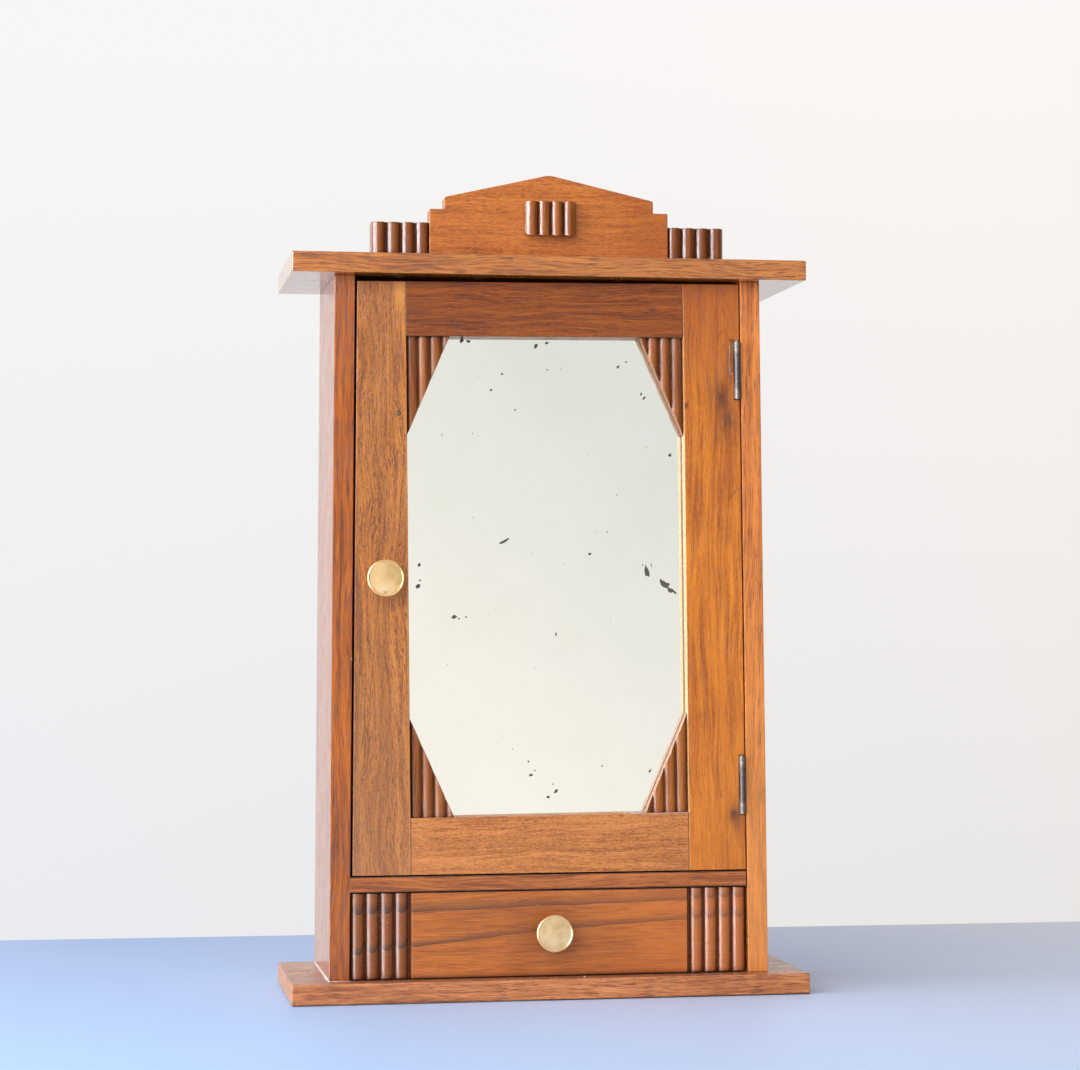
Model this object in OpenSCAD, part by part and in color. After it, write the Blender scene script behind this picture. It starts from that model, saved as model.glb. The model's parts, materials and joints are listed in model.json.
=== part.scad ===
// Small wall or table cabinet: a mirror door with reeded corner blocks over one drawer,
// between two thick boards, under a stepped gable crest.
// Millimetres, +Z up, front towards -Y. Origin: centre of the base board's underside.

/* [Case] */
// Width of the base board and of the top board
board_w = 450; // [420:5:520]
// Depth of the base board and of the top board, front to back
board_d = 165; // [155:1:190]
// Thickness of the base board
base_t = 18; // [14:0.5:24]
// Thickness of the top board
top_t = 17.5; // [14:0.5:24]
// Width across the outsides of the side panels where they stand on the base board
case_w = 384; // [340:2:400]
// Height of the side panels between the two boards
side_h = 604; // [560:2:660]
// Depth of the side panels, front to back
side_d = 147; // [132:1:154]
// Thickness of each side panel
side_t = 17.5; // [14:0.5:20]
// How far each side panel leans inwards over its height
side_lean = 5; // [1:0.5:9]
// Thickness of the back panel
back_t = 6; // [4:0.5:8]
// Width of the rebate in each side panel that the back panel sits in
back_rebate = 8; // [6:0.5:10]

/* [Divider and shelves] */
// Clear height of the drawer opening
drawer_open_h = 75; // [60:1:95]
// Thickness of the board between drawer and cupboard
divider_t = 13; // [10:0.5:16]
// Depth of the groove that holds each end of the divider
housing_d = 6; // [4:0.5:8]
// Distance from the front at which that groove stops
housing_stop = 12; // [8:1:20]
// Gap between the divider's visible right end and the side panel
divider_gap = 1.2; // [0.3:0.1:2]
// Thickness of each shelf
shelf_t = 10; // [8:0.5:14]
// Height of the lower shelf's underside above the divider
lower_shelf_z = 165; // [130:1:190]
// Height of the upper shelf's underside above the divider
upper_shelf_z = 340; // [310:1:375]
// Distance of the shelf fronts behind the side panel fronts
shelf_setback = 30; // [28:1:45]
// Width and height of the shelf cleats
cleat = 12; // [9:0.5:16]
// Height of the hanging rail under the top board
hang_rail_h = 45; // [35:1:60]
// Thickness of the hanging rail
hang_rail_t = 16; // [12:0.5:20]
// Distance between the two wall screw holes
hang_spacing = 240; // [180:5:280]
// Diameter of the wall screw holes
hang_hole_d = 5.5; // [4.5:0.1:7]

/* [Crest] */
// Width of the gable board
crest_w = 210; // [170:2:230]
// Thickness of the gable board
crest_t = 16; // [12:0.5:20]
// Distance of the crest behind the front edge of the top board
crest_setback = 18; // [10:1:30]
// Height of the outer shoulders of the gable board
crest_shoulder_h = 41; // [32:1:45]
// Width of each outer shoulder
crest_shoulder_w = 13; // [8:1:20]
// Height at which the gable slope starts
crest_step_h = 52; // [47:1:56]
// Height of the gable's rounded top
crest_h = 72; // [64:1:82]
// Radius of the gable's rounded top
crest_round = 20; // [10:1:30]
// Height of the reeded blocks beside the gable board
side_block_h = 29; // [20:1:36]
// Depth of the reeded blocks beside the gable board
side_block_t = 17; // [14:0.5:20]
// Spacing of the reeds on those blocks and on the drawer front
reed_pitch = 12.5; // [10:0.5:13.5]
// Rise of those reeds
reed_rise = 4.2; // [3:0.1:5]
// Height of the applied block in the middle of the gable board
center_block_h = 30; // [22:1:34]
// Height of that block's middle above the top board
center_block_z = 33.5; // [26:0.5:40]
// Thickness of that block
center_block_t = 9; // [7:0.5:12]
// Spacing of the reeds on that block
center_reed_pitch = 11.1; // [9:0.1:13]

/* [Door] */
// Thickness of the stiles and rails
door_t = 18; // [16:0.5:21]
// Width of the stiles, before the left one is trimmed to the leaning side panel
stile_w = 50.2; // [42:0.2:58]
// Width of the top rail
top_rail_w = 47.2; // [38:0.2:56]
// Width of the bottom rail at its left end
bottom_rail_w = 48.5; // [40:0.5:58]
// Gap on the knob side
door_gap_side = 2; // [1:0.1:3]
// Gap on the hinge side
door_gap_hinge = 1.2; // [0.8:0.1:2]
// Gap over the door at the hinge side
door_gap_top = 2.4; // [1.2:0.1:4]
// Gap under the door
door_gap_bottom = 1.2; // [0.8:0.1:2]
// Length of the rail tenons
tenon_l = 30; // [18:1:34]
// Thickness of the rail tenons
tenon_t = 6; // [5:0.5:7]
// Distance of each tenon from the edges of its rail
tenon_inset = 9; // [8:0.5:12]
// Thickness of the mirror glass
glass_t = 4; // [3:0.5:5]
// Width of the rebate behind the opening that the glass lies in
glass_rebate = 8; // [6:0.5:9]
// Thickness of the backing board behind the glass
backing_t = 4; // [3:0.5:5]
// How far the backing board reaches past the opening
backing_overlap = 16; // [15:0.5:20]
// Width of the reeded corner blocks
corner_w = 38; // [30:1:52]
// Height of the reeded corner blocks
corner_h = 86; // [60:1:110]
// Distance of the corner blocks behind the face of the door
corner_recess = 2; // [1:0.5:3]
// Spacing of the reeds on the corner blocks
corner_reed_pitch = 10.4; // [8:0.1:13]
// Rise of the reeds on the corner blocks
corner_reed_rise = 3; // [2:0.1:4]

/* [Hinges] */
// Diameter of the hinge barrel
barrel_d = 5; // [4.6:0.1:6]
// Diameter of the hinge pin
hinge_pin_d = 2.4; // [2:0.1:2.6]
// Length of the hinge barrel
hinge_len = 50; // [44:1:60]
// Length of each of the two outer knuckles
knuckle_len = 14; // [11:0.5:16]
// Distance of the hinge pin in front of the door's face
hinge_proud = 1; // [0.6:0.1:2]
// Clear space between barrel and side panel
hinge_gap = 0.9; // [0.5:0.1:1.2]
// Thickness of the hinge leaves
leaf_t = 1.5; // [1.2:0.1:1.8]
// Reach of the hinge leaves behind the pin
leaf_reach = 16; // [14:0.5:17]
// Distance of the lower hinge above the divider
lower_hinge_z = 50; // [35:1:90]
// Distance of the upper hinge below the top board
upper_hinge_z = 53; // [35:1:90]

/* [Drawer] */
// Thickness of the drawer front
front_t = 18; // [15:0.5:21]
// Length of the drawer, front to back
drawer_len = 128; // [100:1:130]
// Thickness of the drawer sides and the drawer back
drawer_wall = 9; // [7:0.5:11]
// Thickness of the drawer bottom
drawer_floor_t = 4; // [3:0.5:5]
// Height of the drawer bottom above the lower edges of the sides
drawer_floor_z = 7; // [5:0.5:10]
// Space between each drawer side and its side panel, at the divider
drawer_side_gap = 6; // [4:0.5:9]
// Gap at the left end of the drawer front
drawer_gap_left = 1; // [0.6:0.1:2]
// Gap at the right end of the drawer front
drawer_gap_right = 2.2; // [0.6:0.1:3]
// Gap over and under the drawer front
drawer_gap_z = 0.9; // [0.5:0.1:1.5]
// Width of each drawer stop
stop_w = 24; // [16:1:40]
// Height of the drawer stops and of the drawer guides
guide_h = 12; // [8:1:20]
// Number of reeds at each end of the drawer front and on each block
reed_count = 4; // [3:1:4]

/* [Knobs] */
// Diameter of the knob discs
knob_d = 31.8; // [26:0.2:38]
// Reach of the knobs in front of the wood
knob_reach = 21; // [17:0.5:26]
// Height of the door knob above the divider
knob_z = 255; // [200:1:300]
// Distance of the door knob from the left edge of the door
knob_inset = 24.5; // [20:0.5:28]
// Diameter of the knob screws
knob_screw_d = 4; // [3:0.5:5]

/* [Fastenings] */
// Diameter of the case screws
screw_d = 4; // [3:0.1:4.5]
// Length of the case screws
screw_len = 42; // [34:1:50]
// Diameter of the small screws in hinges, mirror backing and catch
small_screw_d = 2.4; // [2:0.1:2.8]
// Length of the small screws
small_screw_len = 12; // [8:0.5:13]
// Diameter of the panel pins
panel_pin_d = 1.6; // [1.2:0.1:2]
// Length of the panel pins in the back panel and the drawer
panel_pin_len = 16; // [13:1:20]
// Length of the pins that hold the shelf cleats
cleat_pin_len = 20; // [18:1:24]
// Distance of the outermost screws from the ends of a rail or the crest
screw_end_gap = 30; // [26:1:34]
// Distance of screws and pins from the edge of a side or a cleat
screw_edge_gap = 22; // [18:1:26]

/* [Hidden] */
$fn = 64;
eps = 0.01;
fit = 0.1;          // clearance of glued and screwed joints
run = 0.3;          // clearance between pieces that move past each other
joint_line = 0.15;  // visible hairline where a rail meets a stile
screw_sink = 0.4;   // how far screw heads lie under the wood
leaf_w_gap = 0.4;   // clearance between a leaf and the other leaf's knuckles
bore_gap = 0.05;    // radial clearance of the hinge pin

lean = atan(side_lean / side_h);
back_y = board_d / 2;
board_y = -board_d / 2;
front_y = back_y - side_d;
case_top = base_t + side_h;
panel_y = back_y - back_t;
div_z0 = base_t + drawer_open_h;
div_z1 = div_z0 + divider_t;
function in_x(z) = case_w / 2 - side_t - side_lean * (z - base_t) / side_h;
function out_x(z) = in_x(z) + side_t;

// hinge axis, and the door's own frame: w runs up the axis, u to the right
barrel_r = barrel_d / 2;
face_u = barrel_r + hinge_gap;
axis_x = in_x(base_t) - face_u / cos(lean);
axis_y = front_y - hinge_proud;
function lu(x, z) = (x - axis_x) * cos(lean) + (z - base_t) * sin(lean);
function lw(x, z) = (z - base_t) * cos(lean) - (x - axis_x) * sin(lean);
v0 = hinge_proud;
v1 = v0 + door_t;
lip = door_t - glass_t;
edge_u = face_u - door_gap_hinge;
seat_u = -(barrel_r + run);
door_z0 = div_z1 + door_gap_bottom;
left_a = [lu(door_gap_side - in_x(door_z0), door_z0), lw(door_gap_side - in_x(door_z0), door_z0)];
left_b = [lu(door_gap_side - in_x(case_top), case_top), lw(door_gap_side - in_x(case_top), case_top)];
function left_u(w) = left_a[0] + (left_b[0] - left_a[0]) * (w - left_a[1]) / (left_b[1] - left_a[1]);
function foot_w(u) = lw(axis_x, door_z0) - u * tan(lean);
top_w = lw(in_x(case_top), case_top - door_gap_top);
open_r = edge_u - stile_w;
open_l = left_u(left_a[1]) + stile_w;
open_b = foot_w(open_l) + bottom_rail_w;
open_t = top_w - top_rail_w;
lower_hinge_w = lw(axis_x, div_z1 + lower_hinge_z);
upper_hinge_w = lw(axis_x, case_top - upper_hinge_z) - hinge_len;
gain_end = 1;
knob_w = lw(-in_x(div_z1 + knob_z), div_z1 + knob_z);
knob_u = left_u(knob_w) + knob_inset;

// crest
crest_y = board_y + crest_setback;
top_z = case_top + top_t;
side_block_w = reed_count * reed_pitch;
gable_half = crest_w / 2 - crest_shoulder_w;

// shelves and their cleats
shelf_y = front_y + shelf_setback;
shelf_zs = [div_z1 + lower_shelf_z, div_z1 + upper_shelf_z];

// drawer box
drawer_back_y = front_y + drawer_len;
box_x = in_x(div_z0) - drawer_side_gap;
box_z0 = base_t + run;
front_z0 = base_t + drawer_gap_z;
front_z1 = div_z0 - drawer_gap_z;
lap_t = front_t - 10;
groove_d = drawer_wall / 2;
floor_z = box_z0 + drawer_floor_z;
wall_top = front_z1 - 3;
panel_bevel = 2.6;

// fastenings
head_d = 2 * screw_d;
small_head_d = 2 * small_screw_d + 0.6;
side_screw_ys = [front_y + screw_edge_gap, front_y + side_d / 2, panel_y - screw_edge_gap];
rail_screw_x = hang_spacing / 2 - screw_end_gap;
crest_screw_xs = [-gable_half + screw_end_gap, gable_half - screw_end_gap];
block_screw_xs = [-(crest_w + side_block_w) / 2, (crest_w + side_block_w) / 2];
leaf_screw_v = (barrel_r + leaf_reach) / 2 + 0.5;
leaf_screw_ws = [hinge_len * 0.17, hinge_len * 0.83];
back_pin_zs = [for (i = [0:4]) base_t + side_h * (0.08 + 0.21 * i)];
cleat_pin_ys = [shelf_y + screw_edge_gap, panel_y - screw_edge_gap];
drawer_pin_zs = [for (k = [0.22, 0.6]) floor_z + k * (wall_top - floor_z)];
pin_head_t = panel_pin_d / 2;
knob_screw_len = door_t + knob_reach * 0.48;

// catch
catch_z = div_z1 + knob_z;
catch_plate_t = 1;
catch_plate_w = 12;
catch_plate_h = 20;
catch_face_y = front_y + door_t + catch_plate_t + run;
catch_half = 12;
catch_flange = 22;
catch_w = 14;
catch_depth = 14;
catch_plate_x = catch_w / 2 - in_x(catch_z) + 2;

// Shapes used by several pieces

// Upright board: the outline pts in X and Z, from y0 at the front to y1 at the back
module slab(y0, y1, pts) {
    translate([0, y1, 0])
        rotate([90, 0, 0])
            linear_extrude(height = y1 - y0)
                polygon(pts);
}

// Everything on the door and its hinges is drawn in the hinge axis's frame
module at_hinge() {
    translate([axis_x, axis_y, base_t])
        rotate([0, -lean, 0])
            children();
}

// Turned shape, point towards -Z, head face at z = 0
module csk_screw(d, len, head) {
    difference() {
        rotate_extrude()
            polygon([[0, 0], [head / 2, 0], [d / 2, -(head - d) / 2],
                     [d / 2, d - len], [d / 8, -len], [0, -len]]);
        translate([-head, -d / 8, -d / 4])
            cube([2 * head, d / 4, d]);
    }
}

module csk_hole(d, len, head) {
    rotate_extrude()
        polygon([[0, 2], [head / 2 + fit, 2], [head / 2 + fit, 0], [d / 2 + fit, -(head - d) / 2],
                 [d / 2 + fit, -len - 0.5], [0, -len - 0.5]]);
}

module round_screw(d, len) {
    difference() {
        rotate_extrude()
            polygon(concat([for (i = [0:6]) [d * sin(15 * i), d * 0.75 * cos(15 * i)]],
                           [[d / 2, 0], [d / 2, d - len], [d / 8, -len], [0, -len]]));
        translate([-2 * d, -d / 8, d * 0.45])
            cube([4 * d, d / 4, d]);
    }
}

module round_hole(d, len) {
    translate([0, 0, -len - 0.5])
        cylinder(r = d / 2 + fit, h = len + 2.5);
}

// Panel pin, punched in until its head lies just under the wood
module pin_nail(len) {
    rotate_extrude()
        polygon([[0, -fit], [panel_pin_d * 0.8, -fit], [panel_pin_d, -fit - 0.4],
                 [panel_pin_d, -fit - pin_head_t], [panel_pin_d / 2, -fit - pin_head_t],
                 [panel_pin_d / 2, 1 - len], [0.2, -len], [0, -len]]);
}

module pin_hole(len) {
    r = panel_pin_d / 2 + fit / 2;
    head_r = panel_pin_d + fit / 2;
    head_z = -1.5 * fit - pin_head_t;
    rotate_extrude()
        polygon([[0, 2], [head_r, 2], [head_r, head_z], [r, head_z], [r, -len - 0.5], [0, -len - 0.5]]);
}

// Row of half-round reeds along X, their crests towards -Y, on a back of the given depth
module reed_profile(n, pitch, rise, back) {
    w = pitch - 0.4;
    r = (w * w / 4 + rise * rise) / (2 * rise);
    square([n * pitch, back]);
    for (i = [0:n - 1])
        translate([(i + 0.5) * pitch, r - rise])
            intersection() {
                circle(r, $fn = 96);
                translate([-w, -r - 1])
                    square([2 * w, 1 + rise + 0.2]);
            }
}

module reeded_block(n, pitch, rise, depth, h) {
    linear_extrude(height = h)
        reed_profile(n, pitch, rise, depth - rise);
}

// Case

module at_top_screws() {
    for (s = [-1, 1])
        for (y = side_screw_ys)
            translate([s * (out_x(case_top) - side_t / 2), y, top_z - screw_sink])
                children();
    for (s = [-1, 1])
        translate([s * rail_screw_x, panel_y - hang_rail_t / 2, top_z - screw_sink])
            children();
}

module at_base_screws() {
    for (s = [-1, 1])
        for (y = side_screw_ys)
            translate([s * (out_x(base_t) - side_t / 2), y, screw_sink])
                rotate([180, 0, 0])
                    children();
}

module at_crest_screws() {
    for (x = concat(crest_screw_xs, block_screw_xs))
        translate([x, crest_y + crest_t / 2 + 1, case_top + screw_sink])
            rotate([180, 0, 0])
                children();
}

module at_back_pins() {
    for (s = [-1, 1])
        for (z = back_pin_zs)
            translate([s * (in_x(z) + back_rebate * 0.45), back_y, z])
                rotate([-90, 0, 0])
                    children();
}

module at_cleat_pins() {
    for (s = [-1, 1])
        for (z = shelf_zs)
            for (y = cleat_pin_ys)
                translate([s * (in_x(z) - cleat), y, z - cleat / 2])
                    rotate([0, -90 * s, 0])
                        children();
}

module at_hang_holes() {
    for (s = [-1, 1])
        translate([s * hang_spacing / 2, back_y + 1, case_top - hang_rail_h / 2])
            rotate([90, 0, 0])
                cylinder(d = hang_hole_d, h = back_t + hang_rail_t + 2);
}

module at_case_leaf_screws() {
    at_hinge()
        for (w0 = [lower_hinge_w, upper_hinge_w])
            for (dw = leaf_screw_ws)
                translate([face_u - leaf_t, leaf_screw_v, w0 + dw])
                    rotate([0, -90, 0])
                        children();
}

module at_catch_screws() {
    for (s = [-1, 1])
        translate([3 - in_x(catch_z), catch_face_y + catch_depth / 2, catch_z + s * (catch_half + 5)])
            rotate([0, 90, 0])
                children();
}

module base_board() {
    color("peru")
        difference() {
            translate([-board_w / 2, board_y, 0])
                cube([board_w, board_d, base_t]);
            at_base_screws()
                csk_hole(screw_d, screw_len, head_d);
        }
}

module top_board() {
    color("peru")
        difference() {
            translate([-board_w / 2, board_y, case_top])
                cube([board_w, board_d, top_t]);
            at_top_screws()
                csk_hole(screw_d, screw_len, head_d);
            at_crest_screws()
                csk_hole(screw_d, screw_len, head_d);
        }
}

// Right-hand side panel with the rebate, groove and holes that both sides share
module side_panel() {
    difference() {
        slab(front_y, back_y, [[in_x(base_t), base_t], [out_x(base_t), base_t],
                               [out_x(case_top), case_top], [in_x(case_top), case_top]]);
        slab(panel_y, back_y + 1, [[in_x(base_t) - 1, base_t - 1], [in_x(base_t) + back_rebate, base_t - 1],
                                   [in_x(case_top) + back_rebate, case_top + 1],
                                   [in_x(case_top) - 1, case_top + 1]]);
        translate([in_x(div_z0) - 2, front_y + housing_stop, div_z0])
            cube([housing_d + 2, side_d, divider_t]);
        at_top_screws()
            csk_hole(screw_d, screw_len, head_d);
        at_base_screws()
            csk_hole(screw_d, screw_len, head_d);
        at_back_pins()
            pin_hole(panel_pin_len);
        at_cleat_pins()
            pin_hole(cleat_pin_len);
    }
}

module left_side() {
    color("chocolate")
        difference() {
            mirror([1, 0, 0])
                side_panel();
            at_catch_screws()
                csk_hole(small_screw_d, small_screw_len, small_head_d);
        }
}

module right_side() {
    color("chocolate")
        difference() {
            side_panel();
            at_case_leaf_screws()
                csk_hole(small_screw_d, small_screw_len, small_head_d);
        }
}

module back_panel() {
    z0 = base_t + fit;
    z1 = case_top - fit;
    x0 = in_x(z0) + back_rebate - fit;
    x1 = in_x(z1) + back_rebate - fit;
    color("burlywood")
        difference() {
            slab(panel_y + fit / 2, back_y, [[-x0, z0], [x0, z0], [x1, z1], [-x1, z1]]);
            at_back_pins()
                pin_hole(panel_pin_len);
            at_hang_holes();
        }
}

module hanging_rail() {
    z0 = case_top - hang_rail_h;
    color("peru")
        difference() {
            slab(panel_y - hang_rail_t, panel_y, [[fit - in_x(z0), z0], [in_x(z0) - fit, z0],
                                                  [in_x(case_top) - fit, case_top],
                                                  [fit - in_x(case_top), case_top]]);
            at_hang_holes();
            at_top_screws()
                csk_hole(screw_d, screw_len, head_d);
        }
}

// Board between drawer and cupboard: its ends stand in stopped grooves behind the visible front
module drawer_divider() {
    end_x = in_x(div_z0) + housing_d - fit;
    color("peru")
        union() {
            slab(front_y, front_y + housing_stop + 1,
                 [[joint_line - in_x(div_z0), div_z0], [in_x(div_z0) - divider_gap, div_z0],
                  [in_x(div_z1) - divider_gap, div_z1], [joint_line - in_x(div_z1), div_z1]]);
            translate([-end_x, front_y + housing_stop + fit, div_z0 + fit / 2])
                cube([2 * end_x, panel_y - front_y - housing_stop - fit, divider_t - fit]);
        }
}

module shelf(z) {
    color("peru")
        slab(shelf_y, panel_y - fit, [[run - in_x(z), z], [in_x(z) - run, z],
                                      [in_x(z + shelf_t) - run, z + shelf_t],
                                      [run - in_x(z + shelf_t), z + shelf_t]]);
}

module lower_shelf() {
    shelf(shelf_zs[0]);
}

module upper_shelf() {
    shelf(shelf_zs[1]);
}

module shelf_cleats() {
    color("peru")
        difference() {
            for (s = [0, 1])
                mirror([s, 0, 0])
                    for (z = shelf_zs)
                        slab(shelf_y + 6, panel_y - 4, [[in_x(z - cleat) - cleat, z - cleat],
                                                        [in_x(z - cleat), z - cleat], [in_x(z), z],
                                                        [in_x(z) - cleat, z]]);
            at_cleat_pins()
                pin_hole(cleat_pin_len);
        }
}

// Strips on the base board that keep the drawer straight
module drawer_guides() {
    color("peru")
        for (s = [0, 1])
            mirror([s, 0, 0])
                slab(front_y + front_t + 4, panel_y - 1, [[box_x + run, base_t], [in_x(base_t), base_t],
                                                          [in_x(base_t + guide_h), base_t + guide_h],
                                                          [box_x + run, base_t + guide_h]]);
}

module drawer_stops() {
    color("peru")
        for (s = [-1, 1])
            translate([s * box_x * 0.6 - stop_w / 2, drawer_back_y + run, base_t])
                cube([stop_w, panel_y - drawer_back_y - run, guide_h]);
}

// Crest

module crest_board() {
    slope = atan((crest_h - crest_step_h) / gable_half);
    corner = 2.2;
    half = concat(
        [[crest_w / 2, 0]],
        [for (i = [0:4]) [crest_w / 2 - corner / 2 + corner / 2 * cos(22.5 * i),
                          crest_shoulder_h - corner / 2 + corner / 2 * sin(22.5 * i)]],
        [[gable_half, crest_shoulder_h]],
        [for (i = [0:5]) [gable_half - corner + corner * cos(i * 15),
                          crest_step_h - corner + corner * sin(i * 15)]],
        [for (i = [4:-1:0]) [crest_round * sin(slope * i / 4),
                             crest_h - crest_round + crest_round * cos(slope * i / 4)]]);
    outline = concat(half, [for (i = [len(half) - 2:-1:0]) [-half[i][0], half[i][1]]]);
    color("chocolate")
        difference() {
            translate([0, 0, top_z])
                slab(crest_y, crest_y + crest_t, outline);
            at_crest_screws()
                csk_hole(screw_d, screw_len, head_d);
        }
}

module crest_block(x) {
    color("sienna")
        difference() {
            translate([x, crest_y + reed_rise, top_z])
                reeded_block(reed_count, reed_pitch, reed_rise, side_block_t, side_block_h);
            at_crest_screws()
                csk_hole(screw_d, screw_len, head_d);
        }
}

module crest_block_left() {
    crest_block(-crest_w / 2 - side_block_w);
}

module crest_block_right() {
    crest_block(crest_w / 2);
}

// Applied block, its lower end cut back under the reeds
module crest_center_block() {
    w = reed_count * center_reed_pitch;
    z0 = top_z + center_block_z - center_block_h / 2;
    color("sienna")
        difference() {
            translate([-w / 2, crest_y - center_block_t + reed_rise, z0])
                reeded_block(reed_count, center_reed_pitch, reed_rise, center_block_t, center_block_h);
            translate([-w, crest_y - center_block_t, z0])
                rotate([25, 0, 0])
                    translate([0, -w, -w])
                        cube([2 * w, 2 * w, w]);
        }
}

// Hinges

mid_w0 = knuckle_len + run;
mid_w1 = hinge_len - knuckle_len - run;

module knuckle(w0, w1) {
    translate([0, 0, w0])
        difference() {
            cylinder(r = barrel_r, h = w1 - w0);
            translate([0, 0, -1])
                cylinder(r = hinge_pin_d / 2 + bore_gap, h = w1 - w0 + 2);
        }
}

// Flat leaf with its screw holes: face towards the pin at u0, notched for the other knuckles
module leaf_plate(u0, dir) {
    difference() {
        translate([dir > 0 ? u0 : u0 - leaf_t, barrel_r + leaf_w_gap, 0])
            cube([leaf_t, leaf_reach - barrel_r - leaf_w_gap, hinge_len]);
        for (dw = leaf_screw_ws)
            translate([u0, leaf_screw_v, dw])
                rotate([0, -90 * dir, 0])
                    csk_hole(small_screw_d, small_screw_len, small_head_d);
    }
}

// The bent stretch between the flat leaf and its knuckle, outside the pin's bore
module leaf_web(u0, u1, w0, w1) {
    difference() {
        translate([min(u0, u1), 0, w0])
            cube([abs(u1 - u0), barrel_r + leaf_w_gap + 0.2, w1 - w0]);
        translate([0, 0, w0 - 1])
            cylinder(r = barrel_r - 0.4, h = w1 - w0 + 2);
    }
}

module case_leaf(w) {
    color("dimgray")
        at_hinge()
            translate([0, 0, w])
                union() {
                    leaf_plate(face_u - leaf_t, 1);
                    knuckle(mid_w0, mid_w1);
                    leaf_web(barrel_r - leaf_t, face_u, mid_w0, mid_w1);
                }
}

module case_leaf_upper() {
    case_leaf(upper_hinge_w);
}

module case_leaf_lower() {
    case_leaf(lower_hinge_w);
}

module door_leaf(w) {
    color("dimgray")
        at_hinge()
            translate([0, 0, w])
                union() {
                    leaf_plate(seat_u + leaf_t, -1);
                    knuckle(0, knuckle_len);
                    knuckle(hinge_len - knuckle_len, hinge_len);
                    leaf_web(seat_u, leaf_t - barrel_r, 0, knuckle_len);
                    leaf_web(seat_u, leaf_t - barrel_r, hinge_len - knuckle_len, hinge_len);
                }
}

module door_leaf_upper() {
    door_leaf(upper_hinge_w);
}

module door_leaf_lower() {
    door_leaf(lower_hinge_w);
}

module hinge_pins() {
    color("gray")
        at_hinge()
            for (w = [lower_hinge_w, upper_hinge_w])
                translate([0, 0, w - 0.6])
                    cylinder(d = hinge_pin_d, h = hinge_len + 1.2);
}

module case_leaf_screws() {
    color("gray")
        at_case_leaf_screws()
            csk_screw(small_screw_d, small_screw_len, small_head_d);
}

module at_door_leaf_screws() {
    at_hinge()
        for (w0 = [lower_hinge_w, upper_hinge_w])
            for (dw = leaf_screw_ws)
                translate([seat_u + leaf_t, leaf_screw_v, w0 + dw])
                    rotate([0, 90, 0])
                        children();
}

module door_leaf_screws() {
    color("gray")
        at_door_leaf_screws()
            csk_screw(small_screw_d, small_screw_len, small_head_d);
}

// Door

// The four tenons, or with a clearance their mortises
module tenon_boxes(c) {
    v = v0 + (door_t - tenon_t) / 2;
    lows = [[foot_w(open_r) + tenon_inset, open_b - tenon_inset], [open_t + tenon_inset, top_w - tenon_inset]];
    for (r = lows)
        for (u = [open_l - tenon_l, open_r])
            translate([u - c * 10 + (u < open_l ? 0 : -1), v - c, r[0] - c])
                cube([tenon_l + 1 + 20 * c, tenon_t + 2 * c, r[1] - r[0] + 2 * c]);
}

// Pocket at the back of the frame for the glass
module glass_pocket() {
    slab(v1 - glass_t, v1 + 1, [[open_l - glass_rebate, open_b - glass_rebate],
                                [open_r + glass_rebate, open_b - glass_rebate],
                                [open_r + glass_rebate, open_t + glass_rebate],
                                [open_l - glass_rebate, open_t + glass_rebate]]);
}

module at_backing_screws() {
    m = backing_overlap - 4;
    mid_u = (open_l + open_r) / 2;
    mid_w = (open_b + open_t) / 2;
    pts = [[open_l - m, open_b - m], [mid_u, open_b - m], [open_r + m, open_b - m],
           [open_l - m, mid_w], [open_r + m, mid_w],
           [open_l - m, open_t + m], [mid_u, open_t + m], [open_r + m, open_t + m]];
    for (p = pts)
        translate([p[0], v1 + backing_t, p[1]])
            rotate([-90, 0, 0])
                children();
}

module at_knob_hole() {
    translate([knob_u, v1, knob_w])
        rotate([-90, 0, 0])
            children();
}

module at_catch_plate_screw() {
    translate([lu(catch_plate_x, catch_z), v1 + catch_plate_t, lw(catch_plate_x, catch_z)])
        rotate([-90, 0, 0])
            children();
}

module door_stile_left() {
    color("chocolate")
        at_hinge()
            difference() {
                slab(v0, v1, [[left_u(left_a[1]), left_a[1]], [open_l, foot_w(open_l)],
                              [open_l, top_w], [left_u(top_w), top_w]]);
                tenon_boxes(fit);
                glass_pocket();
                at_backing_screws()
                    round_hole(small_screw_d, small_screw_len);
                at_knob_hole()
                    round_hole(knob_screw_d, knob_screw_len);
                at_catch_plate_screw()
                    csk_hole(small_screw_d, small_screw_len, small_head_d);
            }
}

module door_stile_right() {
    color("chocolate")
        difference() {
            at_hinge()
                difference() {
                    slab(v0, v1, [[open_r, foot_w(open_r)], [edge_u, foot_w(edge_u)],
                                  [edge_u, top_w], [open_r, top_w]]);
                    tenon_boxes(fit);
                    glass_pocket();
                    at_backing_screws()
                        round_hole(small_screw_d, small_screw_len);
                    // gains that the hinges are let into
                    for (w = [lower_hinge_w, upper_hinge_w])
                        translate([seat_u, -1, w - gain_end])
                            cube([barrel_d + 2 * face_u, leaf_reach + 1.5, hinge_len + 2 * gain_end]);
                    // gouge beside the upper barrel
                    translate([seat_u - 1, v0 - 0.4, upper_hinge_w + hinge_len * 0.46])
                        cylinder(r = 2, h = hinge_len * 0.58);
                }
            at_door_leaf_screws()
                csk_hole(small_screw_d, small_screw_len, small_head_d);
        }
}

module rail_between(w0l, w0r, w1) {
    difference() {
        slab(v0, v1, [[open_l + joint_line, w0l], [open_r - joint_line, w0r],
                      [open_r - joint_line, w1], [open_l + joint_line, w1]]);
        glass_pocket();
    }
}

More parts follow.
